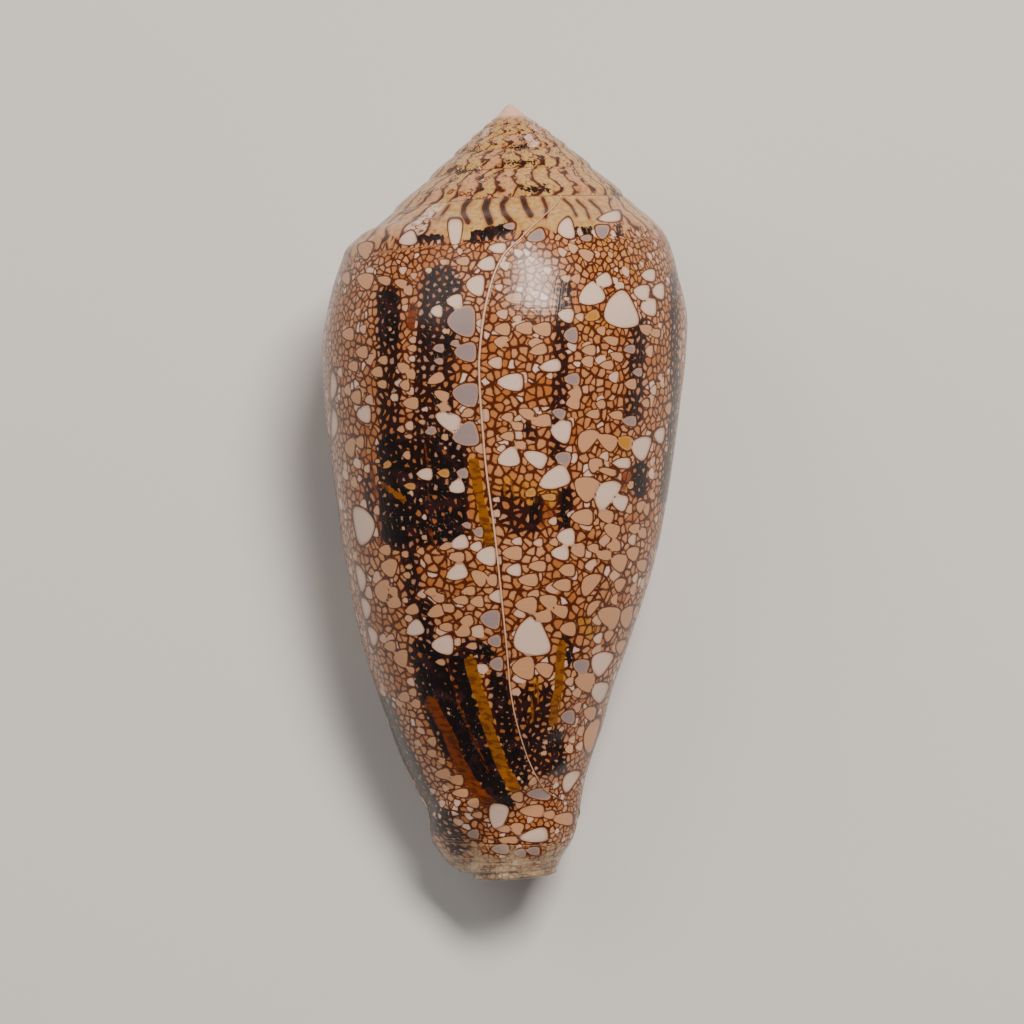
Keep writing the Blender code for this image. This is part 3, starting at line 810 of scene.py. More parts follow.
# Bowed bars of the spire in the middle of the picture: half width and points
SPIRE_BARS = (
    (2.6, (470, 199), (464, 206), (463, 213), (468, 222)), (3.6, (488, 199), (485, 208), (490, 222)),
    (2.6, (507, 198), (502, 204), (504, 213), (512, 222)), (3.0, (523, 198), (526, 207), (531, 215)),
    (1.8, (543, 198), (547, 208), (546, 217)), (1.3, (449, 205), (443, 213), (438, 219)),
    (1.3, (564, 199), (572, 206), (577, 216)), (1.2, (577, 200), (586, 208), (590, 218)),
    (1.2, (590, 200), (600, 209), (606, 219)),
)


# %% [markdown]
# ## From the picture to the skin
# A tent is drawn as a distance: positive inside, zero on its rim, negative outside. The
# skin's grid is too coarse for a thin brown line, but a smooth distance between grid points
# is nearly straight, so the material can cut a sharp rim out of it. That is how fonts are
# kept sharp on a screen too.

# %% Distances of tents and streaks
def picture_place(points):
    """Steps across and down the picture: shell frame, nearer points spread by perspective."""
    spread = CAMERA_DISTANCE / (CAMERA_DISTANCE - points[:, 2]) / PICTURE_STEP
    across = 512.0 + (points[:, 0] - VIEW_CENTRE[0]) * spread
    down = 512.0 - (points[:, 1] - VIEW_CENTRE[1]) * spread
    return across, down


def tent_distance(across, down, tent):
    """Egg with its narrow end to the left and a flatter right end, in mm from its rim.

    Both coordinates are divided by the half sizes. The second is divided again by
    0.78 - 0.24 times the first, which narrows the left end. Then the sum of their powers is
    taken, with power ROUND_END on the left and FLAT_END on the right.
    """
    x, y, half_wide, half_high, lean = tent
    turned = math.radians(lean)
    dx, dy = across - x, down - y
    left = (-dx * math.cos(turned) + dy * math.sin(turned)) / half_wide
    below = (dy * math.cos(turned) + dx * math.sin(turned)) / half_high
    below = below / np.clip(0.78 - 0.24 * left, 0.4, 1.2)
    power = np.where(left > 0.0, ROUND_END, FLAT_END)
    size = (np.abs(left) ** power + np.abs(below) ** power) ** (1.0 / power)
    return (1.0 - size) * min(half_wide, half_high) * PICTURE_STEP


def paint_tents(across, down, shown, later):
    """Largest tent distance at each corner, less the second, so that tents stay apart.

    A tent stays on its own side of the old lip line, where later is true or false.
    """
    best = np.full(len(across), FAR_OUTSIDE)
    second = np.full(len(across), FAR_OUTSIDE)
    kind = np.zeros(len(across))
    for tents, number in TENT_KINDS:
        for tent in tents:
            reach = 1.4 * max(tent[2], tent[3]) + 6.0
            near = (np.abs(across - tent[0]) < reach) & (np.abs(down - tent[1]) < reach)
            spots = np.flatnonzero(near & shown)
            middle = np.hypot(across[spots] - tent[0], down[spots] - tent[1]).argmin()
            spots = spots[later[spots] == later[spots[middle]]]
            distance = tent_distance(across[spots], down[spots], tent)
            second[spots] = np.maximum(second[spots], np.minimum(distance, best[spots]))
            larger = distance > best[spots]
            best[spots[larger]] = distance[larger]
            kind[spots[larger]] = number
    return best - np.maximum(second + TENT_GAP, 0.0), kind


def away_from_line(across, down, line):
    """Steps from each corner to the nearest of the line's straight stretches."""
    nearest = np.full(len(across), 1e9)
    for (x0, y0), (x1, y1) in zip(line[:-1], line[1:]):
        dx, dy = x1 - x0, y1 - y0
        share = ((across - x0) * dx + (down - y0) * dy) / (dx * dx + dy * dy)
        share = np.clip(share, 0.0, 1.0)
        away = np.hypot(across - x0 - share * dx, down - y0 - share * dy)
        nearest = np.minimum(nearest, away)
    return nearest


def streak_strength(across, down, streaks):
    """Strength of the strongest streak: full inside, fading over STREAK_FADE at its edge."""
    result = np.zeros(len(across))
    for strength, half_width, *line in streaks:
        inside = half_width + 0.5 * STREAK_FADE - away_from_line(across, down, line)
        result = np.maximum(result, strength * smooth_step(inside / STREAK_FADE))
    return result


def bar_distance(across, down, bars):
    """Distance in mm inside the nearest bar: its half width less the distance to its line."""
    result = np.full(len(across), FAR_OUTSIDE)
    for half_width, *line in bars:
        inside = half_width - away_from_line(across, down, line)
        result = np.maximum(result, inside * PICTURE_STEP)
    return result


# %% Streaks of the hidden side
def waves(turn, lengths):
    """Mean of sine waves along the growth, each with its own waves per turn and start."""
    total = sum(np.sin(2.0 * math.pi * count * turn + start) for count, start in lengths)
    return total / len(lengths)


def hidden_streaks(turn, height):
    """Dark, gold and rust on the side that the photograph doesn't show."""
    axial = waves(turn, ((6.3, 0.4), (11.7, 2.0), (17.3, 4.4)))
    upper = np.exp(-((height - 40.5) / 5.0) ** 2)
    lower = np.exp(-((height - 64.0) / 6.5) ** 2)
    zone = np.maximum(upper, lower)
    dark = smooth_step((axial + 0.55 * zone - 0.30) / 0.30) * (0.6 + 0.4 * zone)
    golden = waves(turn, ((9.1, 1.0), (15.7, 3.0)))
    gold = smooth_step((golden - 0.45) / 0.25) * zone
    rust = smooth_step((-golden - 0.45) / 0.25) * zone
    return dark, gold, rust


# %% [markdown]
# ## A map for the small tents
# The small tents need a flat map of the shell on which they keep their size and shape. A
# cone can be unrolled flat, and a shell is nearly a cone, so its skin is unrolled with the
# rule that keeps all angles: the way round shrinks and grows with the way down.

# %% Unrolled map and growth direction
UNROLL = 0.219               # sine of the body's half angle
MAP_HEIGHT = 40.0            # height where the map has true size
SHOULDER_HEIGHT = 15.1       # height and radius where the early whorls' maps are joined on
SHOULDER_RADIUS = 18.0


def unroll_table():
    """Running sum of length over radius, from the narrow end up the back's outline."""
    h = np.linspace(SHELL_END, 12.0, 700)
    r = body_radius(-0.25, h)
    step = np.hypot(np.diff(h), np.diff(r))
    total = np.concatenate(([0.0], np.cumsum(step / (0.5 * (r[1:] + r[:-1])))))
    return h[::-1], total[::-1]


TABLE_H, TABLE_V = unroll_table()


def unrolled(turn, height, across, part):
    """Map place in mm and the direction of growth on the map.

    The distance from the map's centre is an exponential of the running sum, and the angle
    is the way round times UNROLL. On a ramp the sum goes on with the logarithm of the radius.
    """
    on_ramp = (part == PART_RAMP) | (part == PART_EARLY)
    low = np.where(part == PART_RAMP, seam_height(turn + 1.0), SHOULDER_HEIGHT)
    start = np.interp(np.where(on_ramp, low, height), TABLE_H, TABLE_V)
    ramp_r = ramp_points(turn, across)[1]
    low_r = np.where(part == PART_RAMP, seam_radius(turn + 1.0), SHOULDER_RADIUS)
    total = start + np.where(on_ramp, np.log(low_r / np.maximum(ramp_r, 0.3)) / RAMP_OUT, 0.0)
    scale = body_radius(-0.25, MAP_HEIGHT) / UNROLL
    reach = scale * np.exp(UNROLL * (total - np.interp(MAP_HEIGHT, TABLE_H, TABLE_V)))
    angle = UNROLL * 2.0 * math.pi * (turn + 0.25)
    bend = (growth_shift(height + 0.3) - growth_shift(height - 0.3)) / 0.6
    lean = np.arctan(2.0 * math.pi * bend * np.clip(28.0 - 0.25 * height, 6.0, 20.0))
    lean = np.where(on_ramp, 0.0, lean)
    way = np.stack((-np.sin(angle + lean), np.cos(angle + lean), np.zeros(len(angle))), axis=1)
    return np.stack((reach * np.cos(angle), reach * np.sin(angle)), axis=1), way


# %% Write the values on the mesh
TURN_LENGTH = 125.0          # mm round the shoulder, for patterns that run along the growth
SCAR_RADIUS = 15.0           # mm, mean radius of the body along the old lip line
FAR_FROM_SCAR = 9.0          # mm, its distance on the skin of the inside
BARS_MIDDLE = 522.0          # picture steps across, middle of the bars set out one by one
BARS_REACH = 88.0            # steps to either side of it
BARS_FADE = 14.0             # steps over which the random bars take over
FLAMMULE_STEP = 1.9          # mm from one dark bar of the spire to the next
STEP_RADIUS = 14.0           # mm, radius where the bars are that far apart


def flammule_count(turn):
    """Bars passed so far: the running sum of way round over bar step.

    The step shrinks with the fourth root of the radius, and the radius shrinks by
    SPIRE_SHARE with each turn back, so the sum is the radius to the power 0.75.
    """
    growth = -0.75 * math.log(SPIRE_SHARE)
    first = 2.0 * math.pi * STEP_RADIUS ** 0.25 / FLAMMULE_STEP
    return first * seam_radius(turn + 0.5) ** 0.75 / growth


def put_float(mesh, name, values):
    """One number for each face corner."""
    layer = mesh.attributes.new(name, 'FLOAT', 'CORNER')
    layer.data.foreach_set("value", np.asarray(values, np.float32))


def put_map(mesh, name, pairs):
    """A flat map of the skin."""
    layer = mesh.uv_layers.new(name=name)
    layer.data.foreach_set("uv", np.asarray(pairs, np.float32).ravel())


def paint_shell(mesh):
    """All markings as values on the skin's corners."""
    turn, height, across, column, part = PLACES.T
    steps_across, steps_down = picture_place(POINTS[CORNERS])
    facing = np.sin(math.pi + 2.0 * math.pi * turn)
    outside = part <= PART_RAMP
    seen = outside * smooth_step((facing + 0.02) / 0.12)
    shown_corners = outside & (facing > -0.05)
    tents, kind = paint_tents(steps_across, steps_down, shown_corners, column > SCAR_TURN)
    shown = (steps_across, steps_down)
    hidden = hidden_streaks(column, height)
    names = ("dark", "gold", "rust")
    for name, streaks, other in zip(names, (DARK_STREAKS, GOLD_STREAKS, RUST_STREAKS), hidden):
        on_back = streak_strength(*shown, streaks)
        put_float(mesh, name, on_back * seen + other * (1.0 - seen) * (part == PART_BODY))
    place, way = unrolled(turn, height, across, part)
    put_map(mesh, "tent_map", place)
    put_map(mesh, "growth_map", np.stack((column * TURN_LENGTH, height), axis=1))
    layer = mesh.attributes.new("growth_way", 'FLOAT_VECTOR', 'CORNER')
    layer.data.foreach_set("vector", way.astype(np.float32).ravel())
    put_float(mesh, "tent", tents)
    put_float(mesh, "tent_kind", kind)
    put_float(mesh, "hidden", 1.0 - seen)
    put_float(mesh, "bar", bar_distance(*shown, SPIRE_BARS))
    set_out = smooth_step((BARS_REACH - np.abs(steps_across - BARS_MIDDLE)) / BARS_FADE) * seen
    put_float(mesh, "own_bars", set_out * (part == PART_RAMP))
    from_scar = (column - SCAR_TURN) * 2.0 * math.pi * SCAR_RADIUS
    put_float(mesh, "scar", np.where(outside, from_scar, FAR_FROM_SCAR))
    put_float(mesh, "ramp", (part == PART_RAMP) | (part == PART_EARLY))
    put_float(mesh, "early", part == PART_EARLY)
    put_float(mesh, "down_ramp", across)
    put_float(mesh, "flammule", flammule_count(turn))
    put_float(mesh, "inside", part >= PART_INSIDE)
    print("Corners painted:", len(turn), " inside a large tent:", int((tents > 0).sum()))


paint_shell(shell.data)


# %% [markdown]
# ## Helpers for the material
# A material is a graph of small sums. Written as plain function calls it can be read like
# a recipe, so this helper makes one node for each call and joins it to what it is given.

# %% Node helpers
class Palette:
    """Adds nodes to one material; each call gives back the socket with its result."""

    def __init__(self, material):
        self.nodes = material.node_tree.nodes
        self.links = material.node_tree.links

    def join(self, socket, value):
        """Link another node's socket, or set a number, a vector or a colour."""
        if isinstance(value, bpy.types.NodeSocket):
            self.links.new(value, socket)
        elif isinstance(value, tuple) and len(socket.default_value) == 4:
            socket.default_value = (*value, 1.0)
        else:
            socket.default_value = value

    def math(self, operation, *values):
        """One sum on numbers."""
        node = self.nodes.new("ShaderNodeMath")
        node.operation = operation
        for socket, value in zip(node.inputs, values):
            self.join(socket, value)
        return node.outputs["Value"]

    def vector(self, operation, first, second, out="Vector"):
        """One sum on vectors."""
        node = self.nodes.new("ShaderNodeVectorMath")
        node.operation = operation
        self.join(node.inputs[0], first)
        self.join(node.inputs[1], second)
        return node.outputs[out]

    def ease(self, value, low, high):
        """Smooth step from 0 at low to 1 at high, also where low is above high."""
        node = self.nodes.new("ShaderNodeMapRange")
        node.interpolation_type = 'SMOOTHSTEP'
        self.join(node.inputs["Value"], value)
        self.join(node.inputs["From Min"], low)
        self.join(node.inputs["From Max"], high)
        return node.outputs["Result"]

    def blend(self, share, first, second):
        """Colour between two colours."""
        node = self.nodes.new("ShaderNodeMix")
        node.data_type = 'RGBA'
        self.join(node.inputs[0], share)
        self.join(node.inputs[6], first)
        self.join(node.inputs[7], second)
        return node.outputs[2]

    def value(self, name, out="Fac"):
        """A value that was written on the mesh."""
        node = self.nodes.new("ShaderNodeAttribute")
        node.attribute_name = name
        return node.outputs[out]

    def split(self, vector):
        """The three numbers of a vector."""
        node = self.nodes.new("ShaderNodeSeparateXYZ")
        self.join(node.inputs[0], vector)
        return node.outputs

    def noise(self, place, scale, detail=2.0, out="Fac"):
        """Cloudy noise around 0.5."""
        node = self.nodes.new("ShaderNodeTexNoise")
        node.noise_dimensions = '2D'
        self.join(node.inputs["Vector"], place)
        node.inputs["Scale"].default_value = scale
        node.inputs["Detail"].default_value = detail
        return node.outputs[out]

    def cells(self, place, width, feature):
        """Random cells of about that width in mm."""
        node = self.nodes.new("ShaderNodeTexVoronoi")
        node.voronoi_dimensions = '2D'
        node.feature = feature
        self.join(node.inputs["Vector"], place)
        node.inputs["Scale"].default_value = 1.0 / width
        return node.outputs


# %% [markdown]
# ## Colours of the shell
# The colours are linear light values: a cream ground, brown lines, and the darker and
# golden pigments of the streaks.

# %% Colours
WHITE = (0.74, 0.53, 0.43)
LILAC = (0.31, 0.225, 0.220)
CREAM_PINK = (0.58, 0.290, 0.150)
ORANGE_TAN = (0.42, 0.135, 0.030)
HALO = (0.30, 0.082, 0.016)
OCHRE_GOLD = (0.50, 0.215, 0.026)
GOLD_STREAK = (0.27, 0.088, 0.008)
RUST = (0.19, 0.034, 0.003)
LINE_BROWN = (0.080, 0.016, 0.004)
CHOCOLATE = (0.030, 0.007, 0.004)
PLUM = (0.030, 0.009, 0.011)
NEAR_BLACK = (0.008, 0.004, 0.004)
WORN_GREY = (0.22, 0.17, 0.135)
WORN_CREAM = (0.50, 0.39, 0.25)
SPIRE_CREAM = (0.56, 0.335, 0.120)
OCHRE_TAN = (0.40, 0.18, 0.046)
PORCELAIN = (0.66, 0.54, 0.48)
TIP_PINK = (0.84, 0.50, 0.35)
SCAR_CREAM = (0.74, 0.46, 0.30)

# %% Layers of the pattern
NET_CELL = 0.88              # mm, mean width of the smallest cells
NET_LINE = 0.060             # mm, half width of their lines
DARK_SWELL = 0.25            # mm that the lines gain on each side in a full dark streak
SMALL_TENT = 1.9             # mm between the centres of the small tents
LARGE_TENT = 3.6             # mm between the centres of the large tents of the hidden side
TENT_RING = (-0.21, -0.09)   # mm outside a tent's rim where its brown line fades in
TENT_EDGE = (-0.06, 0.06)    # mm about the rim over which the tent covers what is under it
TENT_RIM = (0.26, 0.02)      # mm inside the rim where the tent gets warmer


def net_layer(p, place, dark):
    """Small cells: depth inside a cell in mm, rounded at the corners, and a random colour."""
    push = p.vector('SUBTRACT', p.noise(place, 0.9, out="Color"), (0.5, 0.5, 0.5))
    wavy = p.vector('ADD', place, p.vector('MULTIPLY', push, (0.45, 0.45, 0.0)))
    edge = p.cells(wavy, NET_CELL, 'DISTANCE_TO_EDGE')["Distance"]
    centre = p.cells(wavy, NET_CELL, 'F1')
    rounding = p.math('MULTIPLY_ADD', dark, 0.45, 0.22)
    corner = p.math('MULTIPLY', p.math('POWER', centre["Distance"], 2.0), rounding)
    depth = p.math('MULTIPLY', p.math('SUBTRACT', edge, corner), NET_CELL)
    return depth, centre["Color"]


def tent_shape(p, along, beside, size):
    """The same egg as in tent_distance, with its narrow end along the growth."""
    along = p.math('DIVIDE', along, size)
    beside = p.math('DIVIDE', beside, size)
    narrowing = p.math('MAXIMUM', p.math('MULTIPLY_ADD', along, -0.24, 0.78), 0.4)
    beside = p.math('DIVIDE', beside, narrowing)
    front = p.math('GREATER_THAN', along, 0.0)
    power = p.math('MULTIPLY_ADD', front, ROUND_END - FLAT_END, FLAT_END)
    first = p.math('POWER', p.math('ABSOLUTE', along), power)
    second = p.math('POWER', p.math('ABSOLUTE', beside), power)
    total = p.math('POWER', p.math('ADD', first, second), p.math('DIVIDE', 1.0, power))
    return p.math('MULTIPLY', p.math('SUBTRACT', 1.0, total), size)


def tent_layer(p, place, way, width, share, start):
    """A tent in some of the random cells: its distance in mm and its random colour."""
    place = p.vector('ADD', place, start)
    cell = p.cells(place, width, 'F1')
    chance = p.split(cell["Color"])
    away = p.vector('SUBTRACT', place, cell["Position"])
    along = p.vector('DOT_PRODUCT', away, way, out="Value")
    sideways = p.vector('CROSS_PRODUCT', way, (0.0, 0.0, 1.0))
    beside = p.vector('DOT_PRODUCT', away, sideways, out="Value")
    size = p.math('MULTIPLY_ADD', chance[0], 0.22 * width, 0.20 * width)
    distance = tent_shape(p, along, beside, size)
    missing = p.math('MULTIPLY', p.math('GREATER_THAN', chance[1], share), width)
    return p.math('SUBTRACT', distance, missing), chance[2]


def lay_tents(p, under, distance, colour, line):
    """Tents over what lies under them, each with a line round it and a warmer rim."""
    ringed = p.blend(p.ease(distance, *TENT_RING), under, line)
    rim = p.math('MULTIPLY', p.ease(distance, *TENT_RIM), 0.6)
    return p.blend(p.ease(distance, *TENT_EDGE), ringed, p.blend(rim, colour, CREAM_PINK))


# %% [markdown]
# ## The tented pattern
# The layers go on like glazes: small cells, dark and golden streaks, then tents from small
# to large. In a dark streak the lines swell until the cells between them close.

# %% Body pattern
def streak_values(p, growth):
    """Strengths of the streaks, roughened by fine noise that runs along the growth lines.

    Gold and rust are given twice: as a tint, and as a solid streak where they are strongest.
    """
    fine = p.noise(p.vector('MULTIPLY', growth, (2.2, 0.35, 0.0)), 1.0, 3.0)
    shift = p.math('MULTIPLY_ADD', fine, 0.9, -0.45)
    gold = p.math('ADD', p.value("gold"), shift)
    rust = p.math('ADD', p.value("rust"), shift)
    solid_gold, solid_rust = p.ease(gold, 0.62, 0.80), p.ease(rust, 0.62, 0.80)
    solid = p.math('MAXIMUM', solid_gold, solid_rust)
    rough = p.math('MULTIPLY_ADD', fine, 1.1, 0.40)
    dark = p.math('MULTIPLY', p.value("dark"), rough)
    dark = p.math('MULTIPLY', dark, p.math('SUBTRACT', 1.0, solid))
    return dark, p.ease(gold, 0.22, 0.55), p.ease(rust, 0.22, 0.55), solid_gold, solid


def ground_colour(p, place, chance, dark, gold, rust):
    """Colour inside the small cells."""
    warm = p.noise(place, 0.16, 1.0)
    tan = p.math('MULTIPLY_ADD', chance[0], 0.80, p.math('MULTIPLY_ADD', warm, 1.4, -0.62))
    colour = p.blend(p.math('MAXIMUM', p.math('MINIMUM', tan, 1.0), 0.0), CREAM_PINK, ORANGE_TAN)
    colour = p.blend(p.ease(chance[1], 0.92, 0.96), colour, WHITE)
    dim = p.blend(p.ease(chance[2], 0.35, 0.65), HALO, LILAC)
    colour = p.blend(p.math('MULTIPLY', p.ease(dark, 0.10, 0.75), 0.75), colour, dim)
    colour = p.blend(p.math('MULTIPLY', gold, 0.85), colour, OCHRE_GOLD)
    return p.blend(p.math('MULTIPLY', rust, 0.85), colour, RUST)


def streak_colour(p, growth, solid_gold):
    """Solid golden or rust-red streaks, with fine dark ripples across them."""
    ripple = p.noise(p.vector('MULTIPLY', growth, (0.55, 2.0, 0.0)), 1.0, 3.0)
    gold = p.blend(p.math('MULTIPLY', p.ease(ripple, 0.46, 0.60), 0.65), GOLD_STREAK, LINE_BROWN)
    rust = p.blend(p.ease(ripple, 0.42, 0.62), RUST, LINE_BROWN)
    return p.blend(solid_gold, rust, gold)


def dark_colour(p, place, dark):
    """Line colour: brown, then chocolate, then nearly black with plum clouds and worn specks."""
    cloud = p.noise(p.vector('ADD', place, (5.0, 9.0, 0.0)), 0.55, 3.0)
    deep = p.blend(p.ease(cloud, 0.50, 0.66), NEAR_BLACK, PLUM)
    line = p.blend(p.ease(dark, 0.0, 0.35), LINE_BROWN, CHOCOLATE)
    line = p.blend(p.ease(dark, 0.40, 0.85), line, deep)
    worn = p.ease(p.noise(place, 3.6, 2.0), 0.66, 0.74)
    where = p.ease(p.noise(p.vector('ADD', place, (70.0, 12.0, 0.0)), 0.22, 2.0), 0.50, 0.62)
    worn = p.math('MULTIPLY', p.math('MULTIPLY', worn, where), p.ease(dark, 0.35, 0.6))
    return p.blend(p.math('MULTIPLY', worn, 0.7), line, WORN_GREY)


def body_colour(p, place, way, growth):
    """All layers of the body, from the ground up."""
    dark, gold, rust, solid_gold, solid = streak_values(p, growth)
    depth, random = net_layer(p, place, dark)
    ground = ground_colour(p, place, p.split(random), dark, gold, rust)
    line = dark_colour(p, place, dark)
    width = p.math('MULTIPLY_ADD', dark, DARK_SWELL, NET_LINE)
    inner = p.math('SUBTRACT', depth, width)
    ground = p.blend(p.math('MULTIPLY', p.ease(inner, 0.17, 0.0), 0.60), ground, HALO)
    colour = p.blend(p.ease(inner, -0.035, 0.050), line, ground)
    colour = p.blend(solid, colour, streak_colour(p, growth, solid_gold))
    hide = p.math('ADD', p.math('MULTIPLY', dark, 0.55), solid)
    small, kind = tent_layer(p, place, way, SMALL_TENT, 0.42, (3.1, 7.7, 0.0))
    small = p.math('SUBTRACT', small, hide)
    colour = lay_tents(p, colour, small, p.blend(kind, CREAM_PINK, WHITE), line)
    large, kind = tent_layer(p, place, way, LARGE_TENT, 0.34, (11.3, 2.9, 0.0))
    shown = p.math('MULTIPLY', p.math('SUBTRACT', 1.0, p.value("hidden")), LARGE_TENT)
    large = p.math('SUBTRACT', p.math('SUBTRACT', large, shown), p.math('MULTIPLY', hide, 0.5))
    colour = lay_tents(p, colour, large, p.blend(p.ease(kind, 0.6, 0.7), WHITE, LILAC), line)
    return colour, line


def seen_tents(p, under, line):
    """The tents that were set out one by one on the back."""
    kind = p.value("tent_kind")
    colour = p.blend(p.ease(kind, 0.4, 0.6), WHITE, LILAC)
    colour = p.blend(p.ease(kind, 1.4, 1.6), colour, CREAM_PINK)
    colour = p.blend(p.ease(kind, 2.4, 2.6), colour, OCHRE_GOLD)
    return lay_tents(p, under, p.value("tent"), colour, line)


# %% [markdown]
# ## Spire, narrow end, inside and old lip line
# On the ramps of the spire the dark bars are bent like a bow. The inside is plain
# porcelain, and the old lip line is bare cream, for the animal laid no pigment there. Beside
# it a brown band is painted as the shadow of the raised line. The narrow end, which rubs on
# the sea bed, is scuffed to a pale band.

# %% Other colours
TIP_END = (1.9, 1.1)         # mm down the axis over which the bare tip ends
WORN_BAND = (76.2, 78.0)     # mm down the axis over which the scuffed band starts
RIDGES_START = (74.0, 77.5)  # mm down the axis over which its pale ridges start
SCAR_LINE = (0.10, 0.045)    # mm from the middle of the old lip line to its cream edge
SCAR_PAINTED_SHADOW = (0.30, 0.10)    # mm from there to the end of the painted shadow, a brown band beside the raised line


def bowed_bars(p, place):
    """Distance in mm inside the nearest bar, and a random number for each field between bars.

    A bar bows forward at a third of the way down and sweeps forward again at the lower seam:
    0.45 times the sine of 4.8 times the way down, plus the cube of the way down.
    """
    down = p.value("down_ramp")
    bow = p.math('MULTIPLY', p.math('SINE', p.math('MULTIPLY', down, 4.8)), 0.45)
    bow = p.math('ADD', bow, p.math('POWER', down, 3.0))
    rough = p.math('MULTIPLY_ADD', p.noise(place, 0.30, 1.0), 1.0, -0.5)
    bar = p.math('SUBTRACT', p.math('ADD', p.value("flammule"), rough), bow)
    away = p.math('ABSOLUTE', p.math('SUBTRACT', p.math('FRACT', bar), 0.5))
    width = p.math('MULTIPLY_ADD', p.noise(place, 0.30, 1.0), 0.22, -0.010)
    field = p.nodes.new("ShaderNodeTexWhiteNoise")
    field.noise_dimensions = '1D'
    p.join(field.inputs["W"], p.math('FLOOR', p.math('ADD', bar, 0.5)))
    across_field = p.math('FRACT', p.math('ADD', bar, 0.5))
    inside = p.math('MULTIPLY', p.math('SUBTRACT', width, away), FLAMMULE_STEP)
    return inside, field.outputs["Value"], across_field


def spire_colour(p, under, place, line):
    """Bowed brown bars on fields of yellow cream, pink cream and white, with painted shade along the
    upper seam.
    """
    inside, field, across_field = bowed_bars(p, place)
    own = p.value("own_bars")
    inside = p.math('SUBTRACT', inside, p.math('MULTIPLY', own, 2.0))
    inside = p.math('MAXIMUM', inside, p.value("bar"))
    ground = p.blend(p.ease(field, 0.35, 0.75), SPIRE_CREAM, CREAM_PINK)
    ground = p.blend(p.ease(field, 0.85, 0.90), ground, WHITE)
    ground = p.blend(p.math('MULTIPLY', own, 0.8), ground, SPIRE_CREAM)
    ochre = p.math('MULTIPLY', p.ease(p.noise(place, 0.9, 2.0), 0.42, 0.66), 0.75)
    ground = p.blend(ochre, ground, OCHRE_TAN)
    ground = p.blend(p.math('MULTIPLY', p.ease(across_field, 0.45, 0.95), 0.35), ground, OCHRE_TAN)
    ground = p.blend(p.math('MULTIPLY', p.ease(inside, -0.30, -0.02), 0.55), ground, HALO)
    barred = p.blend(p.ease(inside, -0.05, 0.05), ground, LINE_BROWN)
    barred = p.blend(p.ease(inside, 0.10, 0.22), barred, CHOCOLATE)
    patch = p.ease(p.noise(p.vector('ADD', place, (31.0, 17.0, 0.0)), 0.24, 1.0), 0.63, 0.66)
    barred = p.blend(p.math('MULTIPLY', patch, p.math('SUBTRACT', 1.0, own)), barred, under)
    # Painted shade: a brown line along the upper seam of each ramp stands in for the shade in the
    # seam's groove.
    seam = p.math('MULTIPLY', p.ease(p.value("down_ramp"), 0.05, 0.01), 0.7)
    barred = p.blend(seam, barred, LINE_BROWN)
    ragged = p.math('MULTIPLY_ADD', p.noise(place, 1.3, 2.0), 1.8, -0.9)
    return p.blend(p.ease(p.math('ADD', p.value("dark"), ragged), 0.40, 0.60), barred, line)


def worn_end(p, colour, growth):
    """Scuffed band at the narrow end, with fine pale ridges that run round it."""
    height = p.split(growth)[1]
    cloud = p.noise(p.vector('MULTIPLY', growth, (0.35, 0.9, 0.0)), 1.0, 3.0)
    ridge = p.noise(p.vector('MULTIPLY', growth, (0.05, 5.0, 0.0)), 1.0, 2.0)
    ragged = p.math('MULTIPLY_ADD', cloud, 4.0, p.math('SUBTRACT', height, 2.0))
    band = p.math('MULTIPLY', p.ease(ragged, *WORN_BAND), 0.62)
    colour = p.blend(band, colour, p.blend(p.ease(cloud, 0.40, 0.62), WORN_GREY, WORN_CREAM))
    lines = p.math('MULTIPLY', p.ease(ridge, 0.54, 0.66), p.ease(height, *RIDGES_START))
    return p.blend(p.math('MULTIPLY', lines, 0.60), colour, WORN_CREAM)


def finish_colour(p, colour, height):
    """Tip, old lip line with the painted shadow beside it, and inside over the pattern."""
    colour = p.blend(p.ease(height, *TIP_END), colour, TIP_PINK)
    from_scar = p.math('ABSOLUTE', p.value("scar"))
    # Painted shadow: a brown band on both sides of the raised old lip line stands in for its shade.
    scar_painted_shadow = p.math('MULTIPLY', p.ease(from_scar, *SCAR_PAINTED_SHADOW), 0.45)
    colour = p.blend(scar_painted_shadow, colour, LINE_BROWN)
    colour = p.blend(p.ease(from_scar, *SCAR_LINE), colour, SCAR_CREAM)
    return p.blend(p.value("inside"), colour, PORCELAIN)


# %% Relief of the surface
def fine_relief(p, growth):
    """Growth lines and weaker spiral lines, as height in metres."""
    lines = p.noise(p.vector('MULTIPLY', growth, (3.4, 0.12, 0.0)), 1.0, 3.0)
    spiral = p.noise(p.vector('MULTIPLY', growth, (0.10, 2.6, 0.0)), 1.0, 2.0)
    both = p.math('MULTIPLY_ADD', spiral, 0.7, lines)
    bump = p.nodes.new("ShaderNodeBump")
    bump.inputs["Strength"].default_value = 0.6
    bump.inputs["Distance"].default_value = 0.00004
    p.join(bump.inputs["Height"], both)
    return bump.outputs["Normal"]


